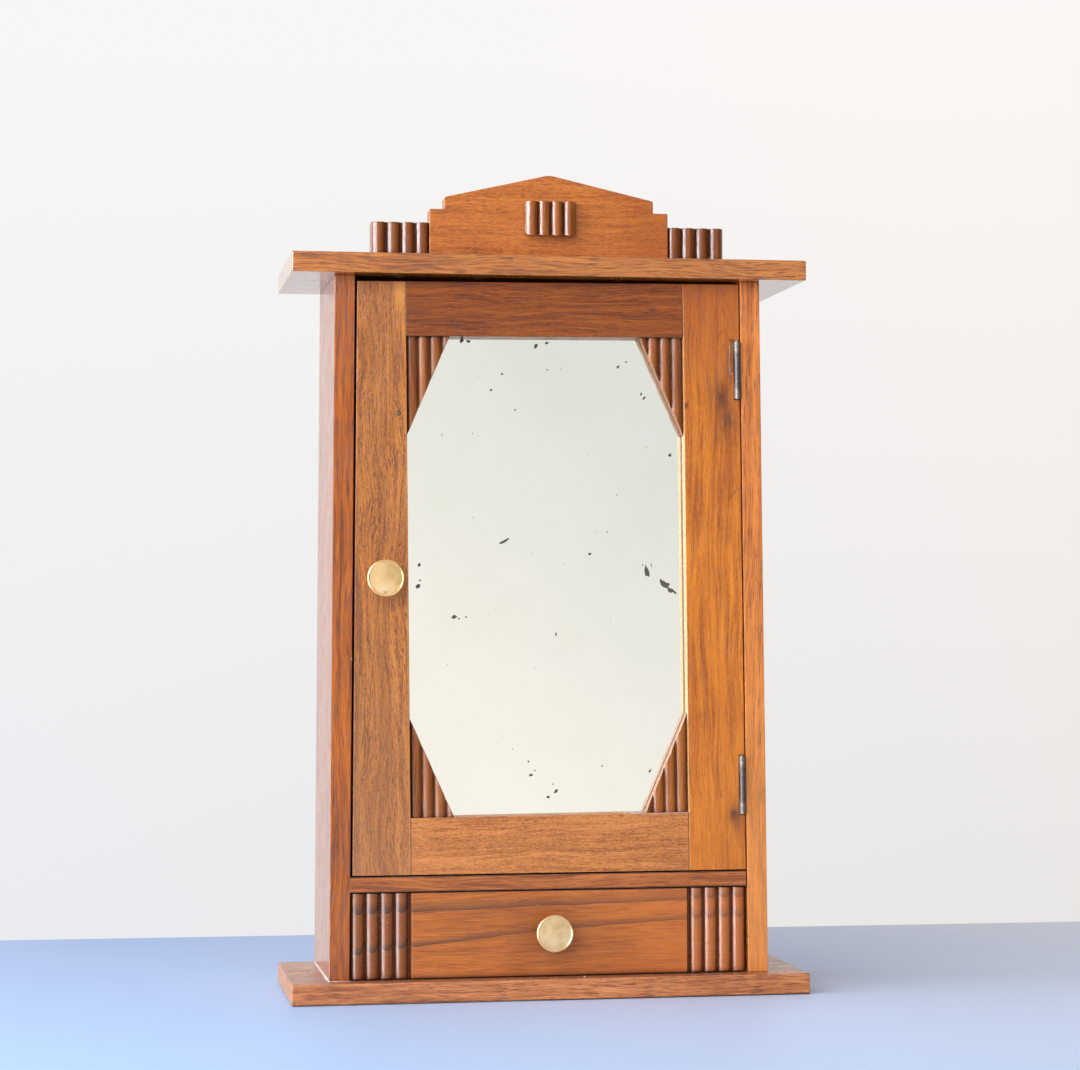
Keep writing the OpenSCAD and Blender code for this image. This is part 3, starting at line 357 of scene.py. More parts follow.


def wood(name, mean, grain, pith, tilt, spacing, seed, door=False,
         warp=5.0, rings=0.6, line=0.05, broad=0.3, fine=0.4, fine_w=1.7, cloud=0.25, sway=3.0,
         pores=0.6, pore_mm=14.0, pore_w=1.9, pore_share=0.0, lines=0.5, line_w=1.3,
         ripple=0.0, ripple_at=(0.22, 0.55), rough=0.30, coat=0.0, coat_rough=0.09,
         wear=0.35, grime=0.0, grime_at=(0.35, 0.88), sawn=None, paint=None,
         dark=(0.60, 0.50, 0.46), light=(1.32, 1.45, 1.60)):
    """One board's material, in mm.

    mean, dark, light: the middle colour and what the darkest and palest wood is against it
    grain, pith, tilt, spacing: the axis along the fibres, the middle of the rings, their slope and width
    seed, door: which of the noise's places it is cut from, and whether it lies in the door's frame
    warp, rings, line, sway: how wavy and strong the rings are, how wide their dark line is, how the fibres sway
    broad, fine, cloud, ripple: strength of streaks, fibres, clouds and figure; fine_w, ripple_at: their fineness
    wear: pale arrises; the two settings after it: how strongly dirt and painted shade darken the corners, and the
    openness that this starts and ends at
    wear, grime, grime_at: pale arrises, and dirt in corners with the openness that it starts and ends at
    sawn: colour of sawn faces that slant; paint: what marks this board; coat: number, or function of the place
    """
    mat, t, b = material(name)
    p = place(t, door)
    q = t.vmath("ADD", p, tuple(seed * k for k in SEED_STEP))

    def drawn(along, across):
        """The place, squeezed for noise drawn out along the grain"""
        k = [across, across, across]
        k["xyz".index(grain)] = along
        return t.scaled(q, tuple(k))

    # the fibres sway round the line of the grain
    drift = t.swing(t.noise(drawn(0.009, 0.022), 1.0, 1.0), 5.0 * sway)
    q = t.vmath("ADD", q, t.vector(0.0 if grain == "x" else drift, 0.0, drift if grain == "x" else 0.0))

    # rings: how far from the pith line, in turns
    axis = (Vector(ALONG[grain]) + Vector(tilt)).normalized()
    away = t.vmath("SUBTRACT", p, pith)
    r = t.vmath("LENGTH", t.vmath("SUBTRACT", away, t.vmath("PROJECT", away, axis)))
    r = t.add(r, t.swing(t.noise(drawn(0.0045, 0.026)), 2.6 * warp))
    r = t.add(r, t.swing(t.noise(drawn(0.018, 0.14), 1.0, 1.0), 1.3))
    turn = t.math("DIVIDE", r, spacing)
    vary = t.noise(t.vector(t.mul(t.math("FLOOR", turn), 7.31), seed, 0.0), 1.0, 0.0)
    late = ((0.0, 1.0), (line, 0.62), (0.30, 0.28), (0.72, 0.04), (0.97, 0.0), (1.0, 1.0))
    ring = t.ramp(t.math("FRACT", turn), [(pos, (k, k, k)) for pos, k in late])
    ring = t.mul(ring, t.range(vary, 0.3, 0.7, 0.35, 1.0))

    # fibres, broad streaks, clouds and ripples
    thin = t.noise(drawn(0.035, fine_w), 1.0, 4.0, 0.68)
    band = t.noise(drawn(0.0085, 0.24))
    mist = t.noise(t.scaled(q, 0.013))
    shade = t.add(0.66, t.mul(ring, -0.5 * rings))
    for part, size in ((thin, 4.2 * fine), (band, 3.2 * broad), (mist, 2.0 * cloud)):
        shade = t.add(shade, t.swing(part, size))
    height = t.mul(thin, 0.6)
    if ripple:
        wavelet = t.noise(drawn(*ripple_at), 1.0, 2.0, 0.6)
        shade = t.add(shade, t.swing(wavelet, 2.4 * ripple))
        height = t.add(height, t.mul(wavelet, 3.0 * ripple))
    colour = t.ramp(shade, [(0.0, times(mean, DEEP)), (0.30, times(mean, dark)), (0.62, mean),
                            (1.0, times(mean, light))])

    # pores, closer together in the dark part of a ring, and hairlines
    dots = t.add(t.noise(drawn(1.0 / pore_mm, pore_w)), t.add(t.mul(ring, 0.05), t.swing(band, -0.14)))
    dots = t.range(dots, 0.585 - pore_share, 0.635 - pore_share, 0.0, 1.0, True)
    colour = t.tint(colour, t.mul(dots, pores), times(mean, DEEP))
    hairs = t.range(t.noise(drawn(0.011, line_w), 1.0, 3.0, 0.62), 0.405, 0.345, 0.0, lines, True)
    colour = t.tint(colour, hairs, times(mean, DEEP))
    if paint:
        colour = paint(t, p, colour)

    # worn pale edges, dirt and painted shade in corners
    normal, off = t.arris(0.0009)
    patchy = t.noise(t.scaled(q, 0.09), 1.0, 3.0, 0.6)
    rub = t.mul(t.range(off, 0.01, 0.12), t.range(patchy, 0.38, 0.60, 0.0, wear))
    colour = t.tint(colour, rub, [min(1.0, 1.15 * c * k + 0.06) for c, k in zip(mean, light)])
    # dirt and painted shade: darker where the surface is less open, as in corners and the valleys of the reeds
    if grime:
        colour = t.tint(colour, t.range(t.openness(0.006), *grime_at, grime, 0.0), times(mean, DIRT_AND_SHADE))
    smear = t.noise(t.scaled(q, 0.05), 1.0, 3.0)
    gloss = t.add(t.range(smear, 0.3, 0.7, rough - 0.06, rough + 0.08), t.mul(dots, 0.15))
    if sawn:
        cut = t.range(t.math("ABSOLUTE", t.xyz(t.normal())[2]), 0.15, 0.30)
        colour = t.tint(colour, t.mul(cut, t.range(thin, 0.3, 0.7, 0.95, 0.6)), sawn)
        # the rear of the sawn faces darkened next to the mirror: dirt and painted shade
        colour = t.tint(colour, t.mul(cut, t.range(t.xyz(p)[1], 11.0, 13.5, 0.0, 0.85)), CORNER_DIRT_AND_SHADE)
        gloss = t.most(gloss, t.mul(cut, 0.7))
    t.put(b.inputs["Base Color"], colour)
    t.put(b.inputs["Roughness"], gloss)
    t.bump(b, t.sub(height, t.mul(dots, 0.7 * pores)), 0.00012, normal)
    if coat:
        t.put(b.inputs["Coat Weight"], coat(t, p) if callable(coat) else coat)
        b.inputs["Coat Roughness"].default_value = coat_rough
    return mat


def dress(node, mat):
    o = nodes[node]
    o.data.materials.clear()
    o.data.materials.append(mat)


def boards(names, *args, **settings):
    mat = wood(names[0] + "_wood", *args, **settings)
    for n in names:
        dress(n, mat)


# What marks single boards: stains, knots, joint lines, painted shade along the gaps, and some painted light and
# shadows

# knots and stains, and painted shade where the right stile meets the mirror
DARK_KNOT_STAIN_AND_SHADE = (0.13, 0.035, 0.012)
REEDS_FROM = 121.0  # half the width of the plain panel between the drawer's reeds


def gap_face_shade(t, y, colour, up=True):
    """Painted shade on the front millimetres of the faces that look down, or also up, seen in the gaps; y as on
    the case
    """
    z = t.xyz(t.normal())[2]
    level = t.most(t.range(z, 0.6, 0.9) if up else 0.0, t.range(z, -0.6, -0.9))
    return t.tint(colour, t.mul(level, t.range(y, -57.5, -63.0)), (0.03, 0.012, 0.008))


def gap_edge_shade(t, z, colour, node, width):
    """Painted shade along the edges of a board beside a gap"""
    lo, hi = heights(node)
    edge = t.most(t.range(z, hi - width * 1.6, hi - width * 0.5),
                  t.range(z, lo + width * 1.6, lo + width * 0.5))
    return t.tint(colour, t.mul(edge, 0.85), (0.035, 0.013, 0.009))


def stile_left_marks(t, p, colour):
    u, _, w = t.xyz(p)
    colour = t.tint(colour, t.range(u, -330.0, -341.0, 0.0, 0.45), (0.17, 0.06, 0.025))
    colour = t.tint(colour, t.range(w, 590.0, 600.0, 0.0, 0.35), (0.16, 0.05, 0.02))
    colour = t.tint(colour, near(t, u, -292.8, 0.2, 0.9, 0.4), (0.72, 0.30, 0.07))
    colour = t.tint(colour, t.range(w, 300.0, 40.0, 0.0, 0.30), (0.60, 0.28, 0.13))
    colour = t.tint(colour, near(t, u, -318.0, 5.0, 14.0, 0.22), (0.27, 0.09, 0.03))
    worn = spot(t, p, (-297.0, 1.0, 590.0), (3.5, 9.0, 12.0))
    return t.tint(colour, t.mul(worn, 0.7), (0.72, 0.32, 0.06))


def stile_right_marks(t, p, colour):
    u, v, w = t.xyz(p)
    flow = t.noise(t.scaled(p, (0.30, 0.1, 0.035)), 1.0, 3.0, 0.6)
    bent = t.swing(flow, 14.0)
    # stains beside the hinges
    stain = 0.0
    for at, size in (((-14.0, 1.0, 503.0), (10.5, 30.0, 19.0)), ((-6.0, 1.0, 136.0), (7.0, 30.0, 17.0)),
                     ((-9.0, 1.0, 480.0), (8.0, 30.0, 16.0)), ((-7.0, 1.0, 530.0), (3.5, 30.0, 22.0))):
        stain = t.most(stain, spot(t, p, at, size))
    colour = t.tint(colour, t.mul(stain, t.range(flow, 0.37, 0.52, 0.2, 1.0)), DARK_KNOT_STAIN_AND_SHADE)
    # arched rings at the top, a loop above the middle
    off = t.add(u, 12.2)
    peak = t.add(t.sub(w, 593.0), t.mul(t.mul(off, off), 0.32))
    peak = t.math("DIVIDE", t.add(peak, bent), 15.0)
    arch = t.mul(near(t, t.math("FRACT", peak), 0.90, 0.02, 0.14),
                 t.mul(t.range(peak, -4.2, -2.0), t.range(peak, 0.6, 0.9, 1.0, 0.0)))
    arch = t.mul(arch, t.range(u, -30.0, -18.0))
    ring = t.vmath("DIVIDE", t.vmath("SUBTRACT", p, (3.0, 1.0, 398.0)), (15.0, 900.0, 24.0))
    ring = t.add(t.vmath("LENGTH", ring), t.mul(bent, 0.02))
    loop = t.mul(near(t, ring, 1.0, 0.01, 0.09), t.range(w, 385.0, 410.0, 0.0, 0.8))
    colour = t.tint(colour, t.mul(t.most(arch, loop), 0.55), (0.22, 0.06, 0.015))
    # darker above, paler below as painted light, two small knots, a chip beside the upper hinge
    colour = t.tint(colour, t.range(w, 470.0, 604.0, 0.0, 0.66), (0.36, 0.075, 0.010))
    colour = t.tint(colour, t.range(w, 320.0, 60.0, 0.0, 0.30), (0.82, 0.25, 0.025))
    for at, size in (((-46.2, 1.0, 495.0), 2.0), ((-8.0, 1.0, 138.0), 3.6)):
        colour = t.tint(colour, spot(t, p, at, (size, 9.0, size * 1.4)), DARK_KNOT_STAIN_AND_SHADE)
    chip = t.mul(near(t, w, 537.0, 10.0, 16.0), t.range(flow, 0.40, 0.55))
    colour = t.tint(colour, t.mul(near(t, u, -5.6, 0.9, 1.6), chip), (0.60, 0.46, 0.34))
    # the inner face beside the mirror, painted pale as if lit from the left: painted light; and painted shade
    # where it meets the mirror
    inner = t.mul(near(t, u, OPEN_R, 0.25, 0.6), t.range(v, 0.8, 1.6))
    colour = t.tint(colour, inner, (0.82, 0.44, 0.18))
    return t.tint(colour, t.mul(inner, t.range(v, 10.5, 12.0)), DARK_KNOT_STAIN_AND_SHADE)


def rail_marks(t, p, colour):
    u, v, w = t.xyz(p)
    ends = t.most(near(t, u, OPEN_L, 0.2, 1.1, 0.8), near(t, u, OPEN_R, 0.2, 1.1, 0.8))
    colour = t.tint(colour, ends, (0.06, 0.02, 0.01))
    # painted shade on the faces that look down, in the gaps
    colour = gap_face_shade(t, t.sub(v, 66.0), colour, up=False)
    foot = t.mul(near(t, w, OPEN_B, 0.4, 1.0), t.range(u, -104.0, -98.0, 0.0, 0.6))
    colour = t.tint(colour, foot, (0.60, 0.46, 0.44))
    knot = spot(t, p, (-75.5, 1.0, 578.5), (3.2, 9.0, 2.4))
    return t.tint(colour, t.mul(knot, 0.85), (0.10, 0.03, 0.015))


def side_left_marks(t, p, colour):
    out = t.range(t.xyz(t.normal())[0], -0.6, -0.9, 0.0, 0.3)
    streak = t.noise(t.scaled(p, (0.1, 0.16, 0.006)), 1.0, 3.0, 0.6)
    dry = t.mix(t.range(streak, 0.36, 0.64), rgb((0.28, 0.105, 0.065)), rgb((0.42, 0.22, 0.145)))
    return t.mix(out, colour, dry)


def side_right_marks(t, p, colour):
    # paler towards the bottom: painted light
    return t.tint(colour, t.range(t.xyz(p)[2], 420.0, 60.0, 0.0, 0.45), (0.98, 0.38, 0.085))


def base_marks(t, p, colour):
    # a near-black line along the bottom: painted contact shadow
    ragged = t.add(t.xyz(p)[2], t.mul(t.noise(t.scaled(p, 0.12)), 0.9))
    colour = t.tint(colour, t.range(ragged, 2.0, 1.1, 0.0, 0.85), (0.035, 0.012, 0.008))
    return t.tint(colour, t.range(t.xyz(t.normal())[2], 0.7, 0.95, 0.0, 0.45), (0.30, 0.15, 0.10))


def divider_marks(t, p, colour):
    _, y, z = t.xyz(p)
    # painted shade in the gaps above and below the divider
    return gap_face_shade(t, y, gap_edge_shade(t, z, colour, "drawer_divider", 0.8))


def crest_marks(t, p, colour):
    # a painted shadow below and to the right of the centre block
    shadow_halo = spot(t, p, (7.0, -20.0, 662.0), (24.0, 90.0, 17.0))
    colour = t.tint(colour, t.mul(shadow_halo, 0.42), (0.16, 0.035, 0.012))
    # darker towards the right end: painted shade
    colour = t.tint(colour, t.range(t.xyz(p)[0], 30.0, 90.0, 0.0, 0.45), (0.45, 0.105, 0.010))
    fleck = t.noise(t.scaled(p, (0.16, 0.3, 0.75)), 1.0, 3.0, 0.65)
    return t.tint(colour, t.range(fleck, 0.44, 0.32, 0.0, 0.5), (0.25, 0.06, 0.01))


def on_reeds(t, x, left, right):
    """A number for the drawer's left reeds and one for its right reeds, 0 between them"""
    return t.most(t.range(x, -REEDS_FROM, -REEDS_FROM - 1.0, 0.0, left),
                  t.range(x, REEDS_FROM, REEDS_FROM + 1.0, 0.0, right))


def reed_polish(t, p):
    return on_reeds(t, t.xyz(p)[0], 0.27, 0.45)


def front_marks(t, p, colour):
    x, y, z = t.xyz(p)
    colour = t.tint(colour, t.range(x, 0.0, 150.0, 0.0, 0.45), (0.70, 0.176, 0.024))
    colour = t.tint(colour, on_reeds(t, x, 0.78, 0.0), (0.21, 0.050, 0.005))
    colour = t.tint(colour, on_reeds(t, x, 0.0, 0.30), (0.31, 0.078, 0.009))
    # two bands of late wood, sharp below and fading upwards, that cross the panel and the reeds
    late = t.mix(on_reeds(t, x, 1.0, 0.5), rgb((0.155, 0.055, 0.026)), rgb((0.065, 0.024, 0.012)))
    deep = t.mul(t.add(y, 64.5), 1.5)
    waver = t.swing(t.noise(t.scaled(p, (0.03, 0.1, 0.1))), 2.4)
    for rise, slope, curve, reach in ((78.9, 0.0273, 0.0, 11.0), (57.6, 0.081, -0.00015, 7.5)):
        line = t.add(rise, t.mul(x, t.add(slope, t.mul(x, curve))))
        up = t.sub(z, t.add(line, t.add(deep, waver)))
        band = t.mul(t.range(up, -0.35, 0.35), t.range(up, 0.3, reach, 1.0, 0.0))
        band = t.mul(t.math("POWER", band, 1.3), t.range(x, -130.0, 150.0, 1.0, 0.55))
        colour = t.mix(band, colour, late)
        colour = t.tint(colour, near(t, up, 0.15, 0.05, 0.55, 0.5), (0.10, 0.03, 0.014))
    # dirt and a painted shadow round the drawer knob
    shadow_halo = spot(t, p, (-2.0, -65.0, 55.0), (25.0, 30.0, 22.0))
    colour = t.tint(colour, t.mul(shadow_halo, 0.55), (0.10, 0.028, 0.012))
    # painted shade in the gaps round the drawer
    return gap_face_shade(t, y, gap_edge_shade(t, z, colour, "drawer_front", 0.7))


def make_woods():
    # case
    boards(["base_board"], (0.600, 0.205, 0.068), "x", (0, 30, -60), (0, 0.01, 0.035), 4.6, 1,
           warp=4.0, broad=0.35, fine=0.42, pores=0.9, pore_mm=16, pore_share=0.02, lines=0.6,
           wear=0.45, rough=0.24, paint=base_marks)
    boards(["top_board"], (0.542, 0.160, 0.020), "x", (0, 10, 700), (0, 0.02, -0.025), 4.6, 2,
           warp=4.0, broad=0.26, fine=0.5, fine_w=2.4, rings=0.35, pores=0.95, pore_mm=17, pore_share=0.02,
           lines=0.9, line_w=2.4, wear=0.45, rough=0.2, coat=1.0)
    boards(["left_side"], (0.450, 0.098, 0.002), "z", (-230, -40, 0), (0.01, 0, 0), 4.2, 3,
           warp=4.0, broad=0.52, fine=0.65, fine_w=2.2, pores=0.95, pore_mm=24, pore_w=2.2, pore_share=0.02,
           lines=0.95, line_w=2.2, rough=0.14, coat=0.25, paint=side_left_marks)
    boards(["right_side"], (0.714, 0.207, 0.037), "z", (260, -100, 0), (0.01, 0, 0), 4.2, 4,
           warp=4.0, broad=0.3, fine=0.42, fine_w=2.2, pores=0.9, pore_mm=18, pore_w=2.2,
           lines=0.8, line_w=2.4, rough=0.26, paint=side_right_marks)
    boards(["drawer_divider"], (0.47, 0.132, 0.028), "x", (0, -20, 140), (0, 0, 0.02), 5.0, 9,
           warp=4.0, rings=0.5, broad=0.4, fine=0.5, pores=0.7, lines=0.6, paint=divider_marks)
    # door
    boards(["door_stile_left"], (0.491, 0.163, 0.032), "z", (-345, 30, 0), (0.028, 0.03, 0), 6.5, 5,
           door=True, warp=8.0, rings=0.45, broad=0.42, fine=0.52, fine_w=2.2, pores=0.85, pore_mm=7,
           pore_w=1.4, pore_share=0.01, lines=0.65, sway=6.0, ripple=0.55, ripple_at=(0.45, 0.85),
           paint=stile_left_marks)
    boards(["door_stile_right"], (0.667, 0.191, 0.015), "z", (-70, 40, 0), (0.02, 0.02, 0), 9.0, 6,
           door=True, warp=6.0, rings=0.45, line=0.03, broad=0.32, fine=0.32, pores=0.7, pore_mm=22,
           pore_share=-0.02, lines=0.85, line_w=0.9, sway=3.5, cloud=0.40, ripple=0.18,
           ripple_at=(0.30, 0.6), rough=0.26, paint=stile_right_marks, dark=(0.62, 0.48, 0.40))
    boards(["door_rail_top"], (0.290, 0.064, 0.004), "x", (-170, 40, 545), (0, 0, 0.03), 6.5, 7,
           door=True, warp=7.0, rings=0.42, broad=0.36, fine=0.52, pores=0.7, lines=0.45, ripple=0.2,
           ripple_at=(0.3, 0.7), light=(1.45, 1.6, 1.9), paint=rail_marks)
    boards(["door_rail_bottom"], (0.586, 0.197, 0.048), "x", (-170, 60, 60), (0, 0, 0.02), 8.0, 8,
           door=True, warp=6.0, rings=0.25, broad=0.25, fine=0.38, pore_mm=5, lines=0.2, ripple=0.42,
           ripple_at=(0.5, 1.1), paint=rail_marks)
    # the lower right block is a paler copy of the others, as that corner is lit more: painted light
    for names, mean, sawn in (
            (["corner_block_upper_left", "corner_block_upper_right", "corner_block_lower_left"],
             (0.33, 0.09, 0.015), (0.31, 0.130, 0.035)),
            (["corner_block_lower_right"], (0.405, 0.112, 0.013), (0.50, 0.29, 0.18))):
        boards(names, mean, "z", (-300, 30, 0), (0, 0, 0), 4.0, 13, door=True, rings=0.5, broad=0.4,
               pores=0.4, rough=0.15, grime=0.95, grime_at=(0.40, 0.92), sawn=sawn)
    # drawer front and crest
    boards(["drawer_front"], (0.512, 0.140, 0.023), "x", (-118, 0, -1305), (0, 0, 0.07), 9.0, 10,
           warp=3.0, rings=0.22, broad=0.14, fine=0.34, pores=0.55, pore_mm=20, lines=0.35, sway=2.0,
           grime=0.95, grime_at=(0.48, 1.0), rough=0.2, coat=reed_polish, coat_rough=0.2,
           paint=front_marks)
    boards(["crest_board"], (0.545, 0.153, 0.022), "x", (-60, 20, 560), (0, 0, 0.05), 12.0, 11,
           warp=9.0, rings=0.25, broad=0.16, fine=0.42, pore_mm=7, lines=0.35, cloud=0.40, rough=0.26,
           ripple=0.25, ripple_at=(0.3, 0.8), paint=crest_marks)
    for names, mean in ((["crest_block_left", "crest_block_right"], (0.26, 0.065, 0.005)),
                        (["crest_center_block"], (0.38, 0.100, 0.010))):
        boards(names, mean, "z", (-300, 20, 0), (0, 0, 0), 5.0, 12, rings=0.4, broad=0.35, pores=0.5,
               rough=0.14, grime=0.95, grime_at=(0.45, 1.0))
    # unvarnished wood inside, thin boards at the back
    for names, grain, pith, seed in (
            (["lower_shelf", "upper_shelf", "hanging_rail", "drawer_back", "drawer_stops"],
             "x", (0, 60, 200), 14),
            (["drawer_side_left", "drawer_side_right", "shelf_cleats", "drawer_guides"],
             "y", (60, 0, 200), 15)):
        boards(names, (0.44, 0.215, 0.088), grain, pith, (0, 0, 0.02), 6.0, seed, rings=0.4, fine=0.35,
               pores=0.5, rough=0.6, wear=0.2)
    boards(["back_panel", "mirror_backing", "drawer_bottom"], (0.50, 0.32, 0.16), "z", (30, 600, 0),
           (0.02, 0, 0), 34.0, 16, warp=14.0, rings=0.45, broad=0.25, fine=0.25, pores=0.3, lines=0.3,
           rough=0.62, wear=0.1)


# Eased edges of the boards, in mm; round parts keep their own shape

EASED = {"base_board": 1.1, "top_board": 0.9, "left_side": 0.5, "right_side": 0.5, "door_stile_left": 0.45,
         "door_stile_right": 0.45, "door_rail_top": 0.4, "door_rail_bottom": 0.4, "crest_board": 0.4,
         "lower_shelf": 0.5, "upper_shelf": 0.5, "hanging_rail": 0.5, "drawer_front": 0.3, "drawer_back": 0.3,
         "drawer_side_left": 0.3, "drawer_side_right": 0.3}


def soften():
    for n, width in EASED.items():
        o = nodes[n]
        o.modifiers.new("join", "WELD").merge_threshold = 1e-5
        d = o.modifiers.new("flatten", "DECIMATE")
        d.decimate_type, d.angle_limit = "DISSOLVE", math.radians(0.5)
        v = o.modifiers.new("ease", "BEVEL")
        v.width, v.segments, v.limit_method = width * 0.001, 2, "ANGLE"
        v.angle_limit = math.radians(75 if n == "drawer_front" else 50)  # the reeds' own edges stay
        v.use_clamp_overlap = False
        o.modifiers.new("shade", "WEIGHTED_NORMAL").keep_sharp = True


# Metals

def metal(name, colour, worn, rough, scale=0.4, amount=0.5, metallic=1.0, edges=None, paint=None):
    mat, t, b = material(name)
    b.inputs["Metallic"].default_value = metallic
    p = place(t)
    patch = t.noise(p, scale, 4.0, 0.62)
    c = t.mix(t.range(patch, 0.46, 0.64, 0.0, amount, True), rgb(colour), rgb(worn))
    if edges:
        c = t.tint(c, t.range(t.arris(0.0006)[1], 0.01, 0.10, 0.0, 0.8), edges)
    if paint:
        c = paint(t, p, c)
    t.put(b.inputs["Base Color"], c)
    t.put(b.inputs["Roughness"], t.range(patch, 0.3, 0.7, rough - 0.08, rough + 0.12))
    t.bump(b, patch, 0.00005)
    return mat


def bare_ends(t, p, colour):
    """The ends of the hinge barrels are rubbed bare"""
    z = t.xyz(p)[2]
    ends = 0.0
    for n in ("case_leaf_upper", "case_leaf_lower"):
        lo, hi = heights(n)
        tall = hi - lo
        away = t.math("ABSOLUTE", t.sub(z, (lo + hi) / 2))
        ends = t.most(ends, t.mul(t.range(away, tall * 0.28, tall * 0.36),
                                  t.range(away, tall * 0.55, tall * 0.60, 1.0, 0.0)))
    patch = t.noise(p, 0.45, 3.0, 0.6)
    return t.tint(colour, t.mul(ends, t.range(patch, 0.38, 0.56, 0.25, 0.95)), (0.28, 0.24, 0.21))


def brass(name, colour):
    """Polished long ago: soft smudges, fine scratches, bright spots, duller where knob and neck meet"""
    mat, t, b = material(name)
    b.inputs["Metallic"].default_value = 1.0
    p = place(t)
    smudge = t.noise(p, 0.085, 3.0, 0.55)
    scratch = t.noise(t.scaled(p, (1.3, 1.0, 0.35)), 1.0, 3.0, 0.6)
    c = t.mix(t.range(smudge, 0.36, 0.64), times(colour, (0.80, 0.74, 0.65)), rgb(colour))
    c = t.tint(c, t.range(scratch, 0.56, 0.72, 0.0, 0.25), times(colour, (0.72, 0.64, 0.55)))
    for at in ((-147.0, -88.0, 352.5), (-2.5, -88.0, 50.0)):
        c = t.tint(c, t.mul(spot(t, p, at, (5.5, 40.0, 5.0)), 0.55), (1.0, 0.84, 0.60))
    c = t.tint(c, t.range(t.noise(p, 0.45), 0.66, 0.74, 0.0, 0.6), times(colour, (0.45, 0.36, 0.28)))
    c = t.tint(c, spot(t, p, (-145.5, -86.0, 349.1), (0.9, 3.0, 0.7)), times(colour, (0.12, 0.10, 0.08)))
    c = t.tint(c, t.range(t.openness(0.004), 0.35, 0.8, 0.55, 0.0), times(colour, (0.34, 0.24, 0.16)))
    t.put(b.inputs["Base Color"], c)
    t.put(b.inputs["Roughness"], t.add(t.range(smudge, 0.3, 0.7, 0.33, 0.25), t.mul(scratch, 0.06)))
    t.bump(b, scratch, 0.00004)
    return mat


def make_metals():
    dress("door_knob", brass("door_brass", (0.98, 0.69, 0.36)))
    dress("drawer_knob", brass("drawer_brass", (0.98, 0.76, 0.48)))
    table = {
        "hinge_steel": metal("worn_steel", (0.115, 0.09, 0.09), (0.25, 0.21, 0.19), 0.54, 0.7, 0.5,
                             edges=(0.34, 0.30, 0.27), paint=bare_ends),
        "steel_fastenings": metal("screw_steel", (0.42, 0.40, 0.38), (0.28, 0.23, 0.19), 0.40, 0.6, 0.6),
        "catch_steel": metal("catch_steel", (0.55, 0.55, 0.54), (0.45, 0.42, 0.38), 0.35, 0.4, 0.4),
        "catch_housing": metal("catch_housing", (0.20, 0.115, 0.065), (0.14, 0.08, 0.05), 0.5, 0.3, 0.5,
                               metallic=0.0),
    }
    for n in nodes:
        if slots[n] in table:
            dress(n, table[slots[n]])


# Mirror: the plate where its node is, with the spots where the silvering has gone. All in mm of the door's frame

PLATE_MARGIN, PLATE_FRONT, PLATE_REAR = 7.6, 15.05, 18.95  # beyond the opening on each side; from v to v
STAINS = [  # middle, outline round it
    ((-79.9, 351.5), [(-1.0, 5.3), (-0.3, 2.8), (1.1, 0.8), (2.1, -1.9), (2.4, -4.3), (1.7, -6.2), (0.2, -5.2),
                      (-1.5, -5.2), (-2.0, -2.8), (-2.4, 0.0), (-1.7, 2.8)]),
    ((-63.1, 338.2), [(-5.2, 5.9), (-3.3, 4.1), (-1.4, 3.5), (0.6, 1.9), (2.5, 1.9), (3.7, 0.5), (2.0, -1.5),
                      (3.5, -2.8), (5.9, -3.4), (8.4, -5.8), (9.8, -7.7), (8.4, -8.1), (5.9, -6.2), (4.0, -7.1),
                      (2.0, -5.8), (1.0, -2.8), (-1.4, -2.4), (-3.7, -0.9), (-4.7, 0.5), (-5.5, 3.4)]),
]
SPOTS = [  # u, w, half length, half width, turn in degrees
    (-241.7, 552.6, 2.6, 1.6, 70), (-236.0, 551.4, 1.9, 1.2, 0), (-176.6, 547.4, 2.5, 1.5, 60),
    (-166.9, 550.2, 1.7, 1.1, 20), (-216.5, 509.1, 1.3, 1.0, 0), (-206.7, 523.1, 1.1, 0.8, 30),
    (-195.5, 491.7, 0.9, 0.8, 0), (-166.5, 527.0, 0.8, 0.7, 0), (-103.7, 529.7, 1.6, 1.0, 40),
    (-96.5, 534.1, 1.2, 0.7, 10), (-83.4, 506.0, 1.5, 0.9, 70), (-80.7, 502.5, 1.9, 1.0, 50),
    (-207.3, 376.8, 4.6, 1.3, 25), (-203.0, 379.5, 1.3, 0.9, 0), (-130.6, 365.9, 1.5, 1.1, 10),
    (-115.2, 385.0, 0.9, 0.7, 0), (-76.0, 355.6, 1.6, 0.4, 100), (-83.8, 356.0, 0.8, 0.7, 0),
    (-281.0, 357.3, 1.9, 1.4, 80), (-282.0, 339.1, 2.4, 1.6, 30), (-280.2, 344.0, 1.0, 0.7, 0),
    (-250.8, 312.1, 2.3, 1.6, 10), (-246.6, 310.6, 1.0, 0.6, 0), (-240.4, 312.0, 1.0, 0.8, 0),
    (-58.1, 452.4, 1.7, 1.4, 60), (-161.5, 296.3, 1.6, 0.7, 90), (-105.9, 417.4, 0.8, 0.6, 0),
    (-184.8, 174.3, 1.7, 1.2, 20), (-181.5, 178.0, 0.9, 0.7, 0), (-163.0, 160.0, 2.0, 1.3, 50),
    (-170.0, 154.9, 1.6, 1.2, 0), (-165.5, 166.0, 0.9, 0.6, 0), (-79.3, 175.8, 2.0, 0.9, 60),
    (-187.0, 186.0, 1.0, 0.8, 0), (-122.0, 181.0, 0.9, 0.7, 0), (-260.0, 470.0, 0.7, 0.6, 0),
]
TINY_SPOTS, SPOT_GAP = 46, 9.0  # tries; those nearer than the gap to another spot are left out
STAINED = (-72.0, 343.0, 22.0)  # middle and radius of the place of both stains, without tiny spots


